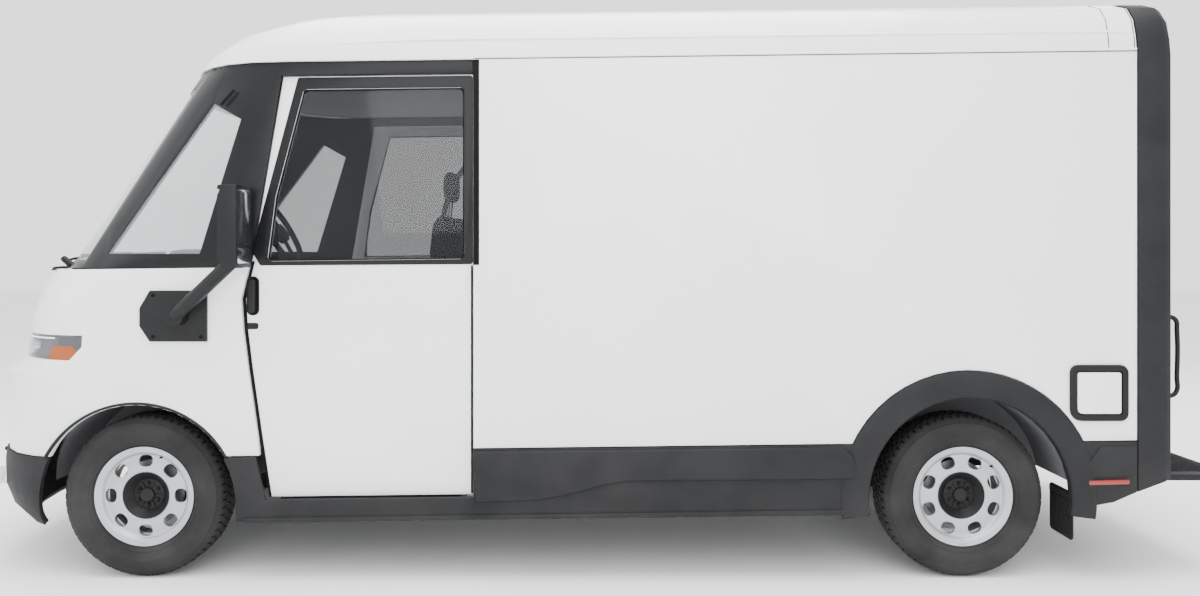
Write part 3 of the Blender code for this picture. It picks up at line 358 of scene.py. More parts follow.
# --- the bench
class Bench:
    """Modelling steps, one tool at a time, on one object at a time."""

    @staticmethod
    def clear() -> None:
        """Leave edit mode and select nothing."""
        if bpy.context.object and bpy.context.object.mode != "OBJECT":
            bpy.ops.object.mode_set(mode="OBJECT")
        bpy.ops.object.select_all(action="DESELECT")

    @staticmethod
    def take(piece: Piece) -> Piece:
        """Select one object and make it active."""
        Bench.clear()
        piece.select_set(True)
        bpy.context.view_layer.objects.active = piece
        return piece

    @staticmethod
    @contextmanager
    def editing(piece: Piece) -> Iterator[Piece]:
        """Edit mode on one object with all of its mesh selected."""
        Bench.take(piece)
        bpy.ops.object.mode_set(mode="EDIT")
        bpy.ops.mesh.select_all(action="SELECT")
        yield piece
        bpy.ops.object.mode_set(mode="OBJECT")

    @staticmethod
    def choose(piece: Piece, kind: str, test: Callable) -> int:
        """Select what passes a test, in edit mode.

        Args:
            piece: The object in edit mode.
            kind: VERT, EDGE or FACE.
            test: Takes the element and says whether it is wanted.

        Returns:
            How many were selected.
        """
        bpy.ops.mesh.select_mode(type=kind)
        bpy.ops.mesh.select_all(action="DESELECT")
        form = bmesh.from_edit_mesh(piece.data)
        form.normal_update()
        rows = {"VERT": form.verts, "EDGE": form.edges, "FACE": form.faces}[kind]
        wanted = [element for element in rows if test(element)]
        for element in wanted:
            element.select_set(True)
        form.select_flush_mode()
        bmesh.update_edit_mesh(piece.data)
        return len(wanted)

    @staticmethod
    def trace(name: str, points: Sequence[Point], closed: bool = False) -> Piece:
        """Draw a line of edges, one extrusion after another.

        Args:
            name: The object's name.
            points: Places of the line's corners.
            closed: Whether the line returns to its start.

        Returns:
            The object, which has no faces yet.
        """
        Bench.clear()
        bpy.ops.mesh.primitive_plane_add(size=0.01, location=points[0])
        piece = bpy.context.object
        piece.name = name
        bpy.ops.object.transform_apply(location=True, rotation=True, scale=True)
        path = [Vector(point) for point in points]
        if closed:
            path.append(path[0])
        with Bench.editing(piece):
            bpy.ops.mesh.merge(type="CENTER")
            bpy.ops.mesh.select_mode(type="VERT")
            bpy.ops.mesh.select_all(action="SELECT")
            for near, far in zip(path, path[1:]):
                move = {"value": tuple(far - near)}
                bpy.ops.mesh.extrude_vertices_move(TRANSFORM_OT_translate=move)
            if closed:
                bpy.ops.mesh.select_all(action="SELECT")
                bpy.ops.mesh.remove_doubles(threshold=0.00001)
        return piece

    @staticmethod
    def slab(name: str, outline: Sequence[tuple], axis: str, low: float, high: float, edge: float = 0.0,
            segments: int = 2, both: bool = False) -> Piece:
        """A flat outline filled and drawn out along an axis, its far edge rounded.

        Args:
            name: The object's name.
            outline: Corners across the axis, in the order of the two other axes.
            axis: x, y or z.
            low: Where the face that stays sharp lies.
            high: Where the rounded face lies.
            edge: Radius of the rounding.
            segments: Steps of the rounding.
            both: Whether the near face is rounded too.

        Returns:
            The closed object.
        """
        number = "xyz".index(axis)

        def place(pair: tuple) -> tuple:
            """A corner in three dimensions."""
            spot = list(pair)
            spot.insert(number, low)
            return tuple(spot)

        piece = Bench.trace(name, [place(pair) for pair in outline], closed=True)
        draw = Vector((0, 0, 0))
        draw[number] = high - low
        with Bench.editing(piece):
            bpy.ops.mesh.edge_face_add()
            bpy.ops.mesh.extrude_region_move(TRANSFORM_OT_translate={"value": tuple(draw)})
            bpy.ops.mesh.select_all(action="SELECT")
            bpy.ops.mesh.normals_make_consistent(inside=False)
            if edge:
                ends = (low, high) if both else (high,)

                def on_rim(line: bmesh.types.BMEdge) -> bool:
                    """Whether an edge lies on a face to be rounded."""
                    return any(all(abs(v.co[number] - end) < 1e-6 for v in line.verts) for end in ends)

                Bench.choose(piece, "EDGE", on_rim)
                bpy.ops.mesh.bevel(offset=edge, segments=segments, affect="EDGES", clamp_overlap=True)
        return piece

    @staticmethod
    def lathe(name: str, profile: Sequence[tuple], centre: Point, turn: Point = (0, 1, 0), steps: int = 64,
            closed: bool = False, out: float = 1.0) -> Piece:
        """A profile spun round an axis.

        Args:
            name: The object's name.
            profile: Pairs of radius and distance along the axis.
            centre: A point on the axis where the distance is 0.
            turn: The axis, along y or x or slanted in that plane.
            steps: Steps of a full turn.
            closed: Whether the profile is a closed line.
            out: Sign of the distances.

        Returns:
            The spun object with its faces outwards.
        """
        way = Vector(turn).normalized()
        side = Vector((0, 0, 1)) if abs(way.z) < 0.9 else Vector((1, 0, 0))
        arm = (side - way * side.dot(way)).normalized()
        middle = Vector(centre)
        points = [middle + arm * max(radius, 0.0) + way * (along * out) for radius, along in profile]
        piece = Bench.trace(name, points, closed)
        with Bench.editing(piece):
            bpy.ops.mesh.spin(steps=steps, angle=2 * math.pi, center=tuple(middle), axis=tuple(way))
            bpy.ops.mesh.select_all(action="SELECT")
            bpy.ops.mesh.remove_doubles(threshold=0.00002)
            bpy.ops.mesh.normals_make_consistent(inside=False)
        return piece

    @staticmethod
    def round_about(piece: Piece, count: int, centre: Point, turn: Point = (0, 1, 0)) -> Piece:
        """Repeat a mesh round an axis, all in one object."""
        with Bench.editing(piece):
            share = 2 * math.pi * (count - 1) / count
            bpy.ops.mesh.spin(steps=count - 1, dupli=True, angle=share, center=tuple(centre),
                axis=tuple(turn))
        return piece

    @staticmethod
    def row(piece: Piece, count: int, step: Point) -> Piece:
        """Repeat a mesh along a line, all in one object, with an applied Array."""
        Bench.take(piece)
        array = piece.modifiers.new("row", "ARRAY")
        array.count = count
        array.use_relative_offset = False
        array.use_constant_offset = True
        array.constant_offset_displace = step
        bpy.ops.object.modifier_apply(modifier=array.name)
        return piece

    @staticmethod
    def tube(name: str, path: Sequence[Point], radius: float, sides: int = 3, smooth: bool = True) -> Piece:
        """A round bar along a path, drawn as a curve and made a mesh.

        Args:
            name: The object's name.
            path: Points that the bar follows.
            radius: Its radius.
            sides: Resolution of its section.
            smooth: Whether it bends smoothly between the points.

        Returns:
            The bar with closed ends.
        """
        Bench.clear()
        bpy.ops.curve.primitive_bezier_curve_add()
        curve = bpy.context.object
        curve.name = name
        curve.data.name = name
        spline = curve.data.splines[0]
        spline.bezier_points.add(len(path) - 2)
        for knot, point in zip(spline.bezier_points, path):
            knot.co = point
            knot.handle_left_type = knot.handle_right_type = "AUTO" if smooth else "VECTOR"
        curve.data.resolution_u = 8 if smooth else 1
        curve.data.bevel_depth = radius
        curve.data.bevel_resolution = sides
        curve.data.use_fill_caps = True
        bpy.ops.object.convert(target="MESH")
        piece = bpy.context.object
        with Bench.editing(piece):
            bpy.ops.mesh.remove_doubles(threshold=0.00001)
            bpy.ops.mesh.normals_make_consistent(inside=False)
        return piece

    @staticmethod
    def brick(name: str, low: Point, high: Point, edge: float = 0.0, segments: int = 2) -> Piece:
        """A block between two corners with rounded edges."""
        Bench.clear()
        near, far = Vector(map(min, low, high)), Vector(map(max, low, high))
        bpy.ops.mesh.primitive_cube_add(size=1.0, location=(near + far) / 2)
        piece = bpy.context.object
        piece.name = name
        piece.scale = far - near
        bpy.ops.object.transform_apply(location=True, rotation=True, scale=True)
        with Bench.editing(piece):
            if edge:
                bpy.ops.mesh.bevel(offset=edge, segments=segments, affect="EDGES")
        return piece

    @staticmethod
    def join(name: str, pieces: Sequence[Piece]) -> Piece:
        """Make several objects one."""
        Bench.clear()
        for piece in pieces:
            piece.select_set(True)
        bpy.context.view_layer.objects.active = pieces[0]
        if len(pieces) > 1:
            bpy.ops.object.join()
        pieces[0].name = name
        return pieces[0]

    @staticmethod
    def twin(piece: Piece, name: str) -> Piece:
        """A copy mirrored to the other side, with its own mesh and its faces outwards."""
        Bench.take(piece)
        bpy.ops.object.duplicate(linked=False)
        copy = bpy.context.object
        copy.name = name
        with Bench.editing(copy):
            bpy.ops.transform.resize(value=(1, -1, 1), center_override=(0, 0, 0))
            bpy.ops.mesh.flip_normals()
        return copy

    @staticmethod
    def tilt(piece: Piece, axis: str, degrees: float, centre: Point) -> Piece:
        """Turn a piece's mesh about a point."""
        with Bench.editing(piece):
            bpy.ops.transform.rotate(value=-math.radians(degrees), orient_axis=axis.upper(),
                center_override=centre)
        return piece

    @staticmethod
    def cut(piece: Piece, cutters: Iterable[Piece], kind: str = "DIFFERENCE") -> Piece:
        """Apply a Boolean of a piece with each cutter, and throw the cutters away."""
        for cutter in cutters:
            Bench.take(piece)
            tool = piece.modifiers.new("cut", "BOOLEAN")
            tool.operation = kind
            tool.solver = "EXACT"
            tool.object = cutter
            bpy.ops.object.modifier_apply(modifier=tool.name)
            bpy.data.objects.remove(cutter, do_unlink=True)
        return piece

    @staticmethod
    def soften(piece: Piece, width: float, angle: float = 32.0, segments: int = 2,
            clamp: bool = True) -> Piece:
        """Round every edge sharper than an angle with an applied Bevel."""
        Bench.take(piece)
        tool = piece.modifiers.new("soften", "BEVEL")
        tool.width = width
        tool.segments = segments
        tool.limit_method = "ANGLE"
        tool.angle_limit = math.radians(angle)
        tool.use_clamp_overlap = clamp
        tool.harden_normals = False
        bpy.ops.object.modifier_apply(modifier=tool.name)
        return piece

    @staticmethod
    def smooth(piece: Piece, angle: float = 38.0) -> Piece:
        """Shade a piece smooth but for its sharp edges."""
        Bench.take(piece)
        bpy.ops.object.shade_smooth_by_angle(angle=math.radians(angle))
        return piece

    @staticmethod
    def finer(node: str, name: str, width: float = 0.0, angle: float = 32.0, segments: int = 2,
            flat: bool = True) -> Piece:
        """A copy of a frame node with merged corners and rounded edges, to stand for it.

        Args:
            node: The frame node.
            name: The copy's name.
            width: Radius of the rounding.
            angle: Edges sharper than this are rounded.
            segments: Steps of the rounding.
            flat: Whether triangles in one plane become one face.

        Returns:
            The copy.
        """
        source = frame["nodes"][node]
        Bench.take(source)
        bpy.ops.object.duplicate(linked=False)
        copy = bpy.context.object
        copy.name = name
        bpy.ops.object.parent_clear(type="CLEAR_KEEP_TRANSFORM")
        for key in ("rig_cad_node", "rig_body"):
            if key in copy:
                del copy[key]
        bpy.ops.mesh.customdata_custom_splitnormals_clear()
        copy.data.materials.clear()
        with Bench.editing(copy):
            bpy.ops.mesh.remove_doubles(threshold=0.00002)
            if flat:
                bpy.ops.mesh.dissolve_limited(angle_limit=math.radians(0.4))
        if width:
            Bench.soften(copy, width, angle, segments)
        return copy


class Yard:
    """Where finished pieces go: each gets its finish and the body it rides on."""

    count = 0

    @classmethod
    def hang(cls, piece: Piece, body: str, finish: Finish, slot: str, replaces: Sequence[str] = (),
            angle: float = 38.0) -> Piece:
        """Finish a piece.

        Args:
            piece: The object.
            body: The frame's body that it rides on.
            finish: Its finish.
            slot: A material slot name; not used.
            replaces: Frame nodes that it stands for.
            angle: Sharper edges than this stay sharp in shading.

        Returns:
            The piece.
        """
        Bench.smooth(piece, angle)
        piece.data.materials.clear()
        piece.data.materials.append(finish.material())
        for face in piece.data.polygons:
            face.material_index = 0
        piece.data.name = piece.name
        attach(piece, body)
        if replaces:
            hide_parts(*replaces)
        cls.count += 1
        LOG.info("%s on %s", piece.name, body)
        cls.check(piece)
        return piece

    @staticmethod
    def check(piece: Piece) -> None:
        """Log a piece that leaves the frame's box."""
        spots = [vertex.co for vertex in piece.data.vertices]
        low = [min(spot[i] for spot in spots) for i in range(3)]
        high = [max(spot[i] for spot in spots) for i in range(3)]
        near, far = CAD_BOX
        if any(low[i] < near[i] - BOX_SLACK or high[i] > far[i] + BOX_SLACK for i in range(3)):
            LOG.warning("%s leaves the box: %s to %s", piece.name, low, high)

    @staticmethod
    def paint(node: str, finish: Finish) -> None:
        """Give a frame node that stays its finish."""
        thing = frame["nodes"][node]
        if not thing.material_slots:
            thing.data.materials.append(finish.material())
        for place in thing.material_slots:
            place.material = finish.material()




# --- wheels
@dataclass
class RoadWheel:
    """A pressed steel wheel with its tyre, hub and nuts."""

    axle: str
    side: Side
    x: float
    half_turn: bool
    rim: float = 0.236
    seat: float = 0.216
    tyre: float = 0.385
    half_tyre: float = 0.12
    holes: int = 8
    hole_circle: float = 0.166
    hole_half: tuple = (0.0335, 0.0285)
    valve_circle: float = 0.198
    nut_circle: float = 0.053
    nuts: int = 6
    tread_pitches: int = 64

    @property
    def centre(self) -> tuple:
        """The wheel's middle."""
        return (self.x, self.side.value * HALF_TRACK, AXLE_HEIGHT)

    @property
    def body(self) -> str:
        """The body that the wheel rides on."""
        return f"{self.axle}_{self.side.label}_wheel"

    def spun(self, name: str, profile: Sequence[tuple], steps: int = 72, closed: bool = False) -> Piece:
        """A profile spun about the wheel's axle, its distances outboard."""
        return Bench.lathe(name, profile, self.centre, steps=steps, closed=closed, out=self.side.value)

    def build(self) -> None:
        """Model every piece of the wheel."""
        self.build_disc()
        self.build_hub()
        self.build_tyre()

    def build_disc(self) -> None:
        """Rim and dished disc with rounded slots near its edge."""
        half = self.half_tyre - 0.02
        outer = [(0.068, 0.036), (0.074, 0.0415), (0.09, 0.058), (0.104, 0.074), (0.12, 0.0792),
            (0.15, 0.0798), (0.176, 0.0765), (0.19, 0.0735), (0.1955, 0.0755), (0.2, 0.081),
            (0.2045, 0.088), (0.212, 0.093), (0.224, 0.095), (0.233, 0.0975), (self.rim, half - 0.0015),
            (self.rim, half - 0.005), (0.231, half - 0.009), (self.seat, half - 0.014),
            (self.seat - 0.001, 0.05), (0.2, 0.03), (0.2, -0.03), (self.seat - 0.001, -0.06),
            (self.seat, -half + 0.014), (self.rim - 0.004, -half + 0.006), (self.rim, -half + 0.002),
            (self.rim - 0.005, -half), (0.206, -half + 0.01), (0.194, -0.05), (0.19, 0.03), (0.186, 0.056),
            (0.176, 0.0645), (0.15, 0.068), (0.12, 0.0672), (0.107, 0.062), (0.092, 0.044), (0.078, 0.0285),
            (0.068, 0.028),]
        disc = self.spun(f"{self.body}_disc", outer, 96, closed=True)
        slot = self.build_slot()
        Bench.cut(disc, [slot])
        Bench.soften(disc, 0.0014, 50.0, 2)
        Yard.hang(disc, self.body, Finishes.SILVER, "wheel_silver", [self.body], 34.0)

    def build_slot(self) -> Piece:
        """The cutter of the disc's slots, longer round the wheel than across it."""
        x, y, z = self.centre
        sign = self.side.value
        corners = []
        for step in range(20):
            turn = 2 * math.pi * step / 20
            across = self.hole_half[0] * math.copysign(abs(math.cos(turn)) ** 0.8, math.cos(turn))
            up = self.hole_half[1] * math.copysign(abs(math.sin(turn)) ** 0.8, math.sin(turn))
            corners.append((x + across, z + self.hole_circle + up))
        near, far = sorted((y + sign * 0.045, y + sign * 0.115))
        slot = Bench.slab("slot_tool", corners, "y", near, far)
        if self.half_turn:
            Bench.tilt(slot, "y", 180.0 / self.holes, self.centre)
        return Bench.round_about(slot, self.holes, self.centre)

    def build_hub(self) -> None:
        """Dark hub with its nuts, bore cap and clamp ring."""
        x, y, z = self.centre
        sign = self.side.value
        flange = [(0.0, 0.0665), (0.026, 0.0665), (0.031, 0.0655), (0.0335, 0.062), (0.034, 0.054),
            (0.04, 0.05), (0.062, 0.049), (0.07, 0.0475), (0.074, 0.0455), (0.0775, 0.048), (0.09, 0.0605),
            (0.104, 0.0768), (0.1085, 0.08), (0.111, 0.0792), (0.1118, 0.074),]
        hub = self.spun(f"{self.body}_hub", flange, 48)
        parts = [hub]
        nut = Bench.lathe("nut", [(0.0, 0.064), (0.0065, 0.064), (0.0098, 0.0615), (0.0105, 0.05),
            (0.014, 0.047), (0.014, 0.044)], (x, y, z + self.nut_circle), steps=6, out=sign)
        parts.append(Bench.round_about(nut, self.nuts, self.centre))
        stud = Bench.lathe("stud", [(0.0, 0.072), (0.0045, 0.0715), (0.0055, 0.07), (0.0055, 0.06)],
            (x, y, z + self.nut_circle), steps=10, out=sign)
        parts.append(Bench.round_about(stud, self.nuts, self.centre))
        rib = Bench.brick("rib", (x - 0.0035, y + sign * 0.05, z + 0.036),
            (x + 0.0035, y + sign * 0.056, z + 0.066), 0.001, 1)
        Bench.tilt(rib, "y", 180.0 / self.nuts, self.centre)
        parts.append(Bench.round_about(rib, self.nuts, self.centre))
        Yard.hang(Bench.join(f"{self.body}_hub", parts), self.body, Finishes.SATIN, "black_plastic")
        turn = math.pi / self.holes * (2 if self.half_turn else 1)
        valve = Bench.lathe(f"{self.body}_valve", [(0.0, 0.1), (0.0028, 0.0995), (0.0038, 0.096),
            (0.0038, 0.086), (0.006, 0.082), (0.006, 0.072)], (x + self.valve_circle * math.sin(turn), y,
            z + self.valve_circle * math.cos(turn)), steps=10, out=sign)
        Yard.hang(valve, self.body, Finishes.SEAL, "tyre_rubber")
        weight = Bench.brick(f"{self.body}_weight", (x - 0.018, y + sign * 0.092, z - 0.2315),
            (x + 0.018, y + sign * 0.0985, z - 0.2235), 0.0015, 1)
        Yard.hang(weight, self.body, Finishes.BARE, "steel")

    def build_tyre(self) -> None:
        """Tyre with shaped sidewalls, shoulder blocks and a ribbed tread."""
        half, top = self.half_tyre, self.tyre
        side = [(0.2175, half - 0.04), (0.2185, half - 0.03), (0.238, half - 0.027),
            (0.2425, half - 0.0205), (0.247, half - 0.012), (0.256, half - 0.0085), (0.258, half - 0.006),
            (0.261, half - 0.006), (0.263, half - 0.0075), (0.28, half - 0.0032), (0.296, half - 0.001),
            (0.2975, half), (0.306, half), (0.3075, half - 0.001), (0.325, half - 0.002),
            (0.34, half - 0.005), (0.3415, half - 0.0035), (0.35, half - 0.005), (0.356, half - 0.0125),
            (0.3655, half - 0.019), (top - 0.012, half - 0.027), (top - 0.0098, half - 0.048),]
        profile = side + [(top - 0.009, 0.0)] + [(radius, -out) for radius, out in reversed(side)]
        tyre = self.spun(f"{self.body}_tyre", profile, 112, closed=True)
        parts = [tyre] + self.tread_parts()
        Yard.hang(Bench.join(f"{self.body}_tyre", parts), self.body, Finishes.RUBBER, "tyre_rubber",
            [f"{self.axle}_{self.side.label}_tyre"], 30.0)

    def tread_parts(self) -> list:
        """Shoulder blocks and three rows of middle blocks, each modelled once and spun."""
        x, y, z = self.centre
        floor, top = z + self.tyre - 0.0125, z + self.tyre - 0.0004
        rows = ((0.0, 0.0165, 0.0), (0.0395, 0.015, 0.5), (-0.0395, 0.015, 0.5))
        pitch = 2 * math.pi * self.tyre / self.tread_pitches
        parts = []
        for offset, width, shift in rows:
            block = self.tread_block(x, y + offset, width, pitch * 0.4, floor, top, 0.35)
            if shift:
                Bench.tilt(block, "y", 360.0 / self.tread_pitches * shift, self.centre)
            parts.append(Bench.round_about(block, self.tread_pitches, self.centre))
        for sign in (-1, 1):
            outline = [(y + sign * 0.061, floor), (y + sign * 0.061, top - 0.0006),
                (y + sign * 0.076, top - 0.003), (y + sign * 0.093, top - 0.0095),
                (y + sign * 0.106, top - 0.025), (y + sign * 0.1105, top - 0.035),
                (y + sign * 0.102, top - 0.035), (y + sign * 0.09, floor),]
            shoulder = Bench.slab("shoulder", outline, "x", x - pitch * 0.37, x + pitch * 0.37, 0.0012, 1)
            parts.append(Bench.round_about(shoulder, self.tread_pitches, self.centre))
        return parts

    def tread_block(self, x: float, y: float, width: float, length: float, floor: float, top: float,
            skew: float) -> Piece:
        """One tread block, a leaning parallelogram with bevelled upper edges."""
        corners = []
        for across, along in ((-1, -1), (1, -1), (1, 1), (-1, 1)):
            corners.append((x + along * length + across * width * skew, y + across * width))
        return Bench.slab("block", corners, "z", floor, top, 0.0014, 1)


@dataclass
class Brake:
    """Brake disc and calliper behind a wheel."""

    axle: str
    side: Side
    x: float
    radius: float = 0.158
    shoe: tuple = (0.118, 0.1795)
    half_turn: float = 38.0
    shoe_steps: int = 8

    def build(self) -> None:
        """Model the disc and the calliper; the disc turns with the wheel."""
        sign = self.side.value
        label = f"{self.axle}_{self.side.label}"
        centre = (self.x, sign * HALF_TRACK, AXLE_HEIGHT)
        holder = f"{self.side.label}_knuckle" if self.axle == "front" else "van"
        disc = Bench.lathe(f"{label}_brake_disc", [(0.072, 0.026), (0.072, 0.01), (0.09, 0.006),
            (self.radius - 0.002, 0.006), (self.radius, 0.004), (self.radius, -0.01),
            (self.radius - 0.002, -0.012), (0.09, -0.012), (0.066, 0.004), (0.06, 0.026)], centre, steps=64,
            closed=True, out=sign)
        Yard.hang(disc, f"{label}_wheel", Finishes.BARE, "steel")
        x, y, z = centre
        shoe = []
        for radius, first in ((self.shoe[1], -self.half_turn), (self.shoe[0], self.half_turn)):
            for step in range(self.shoe_steps + 1):
                turn = math.radians(first * (1 - 2 * step / self.shoe_steps))
                shoe.append((x + radius * math.cos(turn), z + radius * math.sin(turn)))
        near, far = y - sign * 0.018, y - sign * 0.046
        calliper = Bench.slab(f"{label}_calliper", shoe, "y", near, far, 0.004, 2, both=True)
        pistons = [Bench.lathe("piston", [(0.0, -0.058), (0.02, -0.058), (0.022, -0.055), (0.022, -0.04)],
            (x + 0.15 * math.cos(turn), y, z + 0.15 * math.sin(turn)), steps=20, out=sign)
            for turn in (-0.3, 0.3)]
        Yard.hang(Bench.join(f"{label}_calliper", [calliper, *pistons]), holder, Finishes.STEEL, "steel")


# --- body shell
@dataclass(frozen=True)
class Panel:
    """A frame node that gets merged corners, rounded edges and its finish."""

    node: str
    finish: Finish
    slot: str
    width: float = 0.003
    body: str = "van"
    flat: bool = True
    angle: float = 32.0


@dataclass
class BodyShell:
    """The panels whose shape is the frame's own, with rounded edges."""

    panels: tuple = (Panel("nose_panel", Finishes.WHITE, "white_paint", 0.004),
        Panel("left_fender", Finishes.WHITE, "white_paint", 0.004),
        Panel("right_fender", Finishes.WHITE, "white_paint", 0.004),
        Panel("front_bumper", Finishes.PLASTIC, "black_plastic", 0.004),
        Panel("greenhouse", Finishes.GLOSS, "gloss_black", 0.002, "van", False),
        Panel("roof", Finishes.WHITE, "white_paint", 0.004), Panel("left_side_panel", Finishes.WHITE,
        "white_paint", 0.003), Panel("right_side_panel", Finishes.WHITE, "white_paint", 0.003),
        Panel("left_cladding", Finishes.PLASTIC, "black_plastic", 0.005),
        Panel("right_cladding", Finishes.PLASTIC, "black_plastic", 0.005),
        Panel("rear_portal", Finishes.PLASTIC, "black_plastic", 0.004),
        Panel("rear_step", Finishes.PLASTIC, "black_plastic", 0.004),
        Panel("left_mirror", Finishes.SATIN, "black_plastic", 0.006),
        Panel("right_mirror", Finishes.SATIN, "black_plastic", 0.006),
        Panel("charge_port", Finishes.SATIN, "black_plastic", 0.004),
        Panel("charge_flap", Finishes.WHITE, "white_paint", 0.003, "charge_flap"),
        Panel("left_cab_door", Finishes.WHITE, "white_paint", 0.002, "left_door", False),
        Panel("right_cab_door", Finishes.WHITE, "white_paint", 0.002, "right_door", False),
        Panel("dashboard", Finishes.DARK_TRIM, "grey_trim", 0.006),
        Panel("steering_wheel", Finishes.DARK_TRIM, "grey_trim", 0.002, "steering_wheel", True, 50.0),
        Panel("windshield", Finishes.GLASS, "glass", 0.0), Panel("left_quarter_glass", Finishes.GLASS,
        "glass", 0.0), Panel("right_quarter_glass", Finishes.GLASS, "glass", 0.0),
        Panel("bulkhead", Finishes.WALL, "grey_trim", 0.003), Panel("cab_floor", Finishes.TRIM, "grey_trim",
        0.003), Panel("cargo_floor", Finishes.TRIM, "grey_trim", 0.003),
        Panel("seat_base", Finishes.SATIN, "grey_trim", 0.01),)
    painted: tuple = (("chassis_frame", Finishes.STEEL), ("battery_pack", Finishes.STEEL),
        ("front_suspension", Finishes.STEEL), ("rear_axle", Finishes.STEEL),
        ("left_knuckle", Finishes.STEEL), ("right_knuckle", Finishes.STEEL),
        ("left_door_glass", Finishes.TINT), ("right_door_glass", Finishes.TINT),
        ("left_tail_light", Finishes.RED), ("right_tail_light", Finishes.RED),
        ("rear_door", Finishes.WHITE),)

    def build(self) -> None:
        """Round the panels and paint the nodes that stay."""
        for panel in self.panels:
            piece = Bench.finer(panel.node, f"{panel.node}_skin", panel.width, panel.angle, flat=panel.flat)
            Yard.hang(piece, panel.body, panel.finish, panel.slot, [panel.node])
        for node, finish in self.painted:
            Yard.paint(node, finish)


def rounded(outline: Sequence[tuple], radius: float, steps: int = 5) -> list:
    """An outline with each corner turned into an arc.

    Args:
        outline: Corners in order.
        radius: Radius of each arc, less where an edge is too short.
        steps: Steps of each arc.

    Returns:
        The corners of the rounded outline.
    """
    spots = [Vector(pair) for pair in outline]
    made = []
    for i, spot in enumerate(spots):
        before, after = spots[i - 1] - spot, spots[(i + 1) % len(spots)] - spot
        half = before.angle(after) / 2
        reach = min(radius / math.tan(half), 0.45 * before.length, 0.45 * after.length)
        real = reach * math.tan(half)
        start, end = spot + before.normalized() * reach, spot + after.normalized() * reach
        centre = spot + (before.normalized() + after.normalized()).normalized() * (real / math.sin(half))
        for k in range(steps + 1):
            blend = start.lerp(end, k / steps) - centre
            made.append(tuple(centre + blend.normalized() * real))
    return made


def pane(near: float, low: float, far: float, high: float, radius: float, steps: int = 5) -> list:
    """Outline of an upright rectangle with round corners."""
    return rounded([(near, low), (far, low), (far, high), (near, high)], radius, steps)


def station(pairs: Sequence[tuple]) -> list:
    """Outline corners given from the front axle, moved into the frame."""
    return [(FRONT_AXLE + x, z) for x, z in pairs]


def both_sides(make: Callable[[], Sequence[tuple]]) -> None:
    """Model pieces on the left, hang them, and hang their mirrored twins on the right.

    Args:
        make: Gives rows of piece, body, finish and slot, with left in the names.
    """
    for piece, body, finish, slot in make():
        twin = Bench.twin(piece, piece.name.replace("left", "right"))
        Yard.hang(piece, body, finish, slot)
        Yard.hang(twin, body.replace("left", "right"), finish, slot)


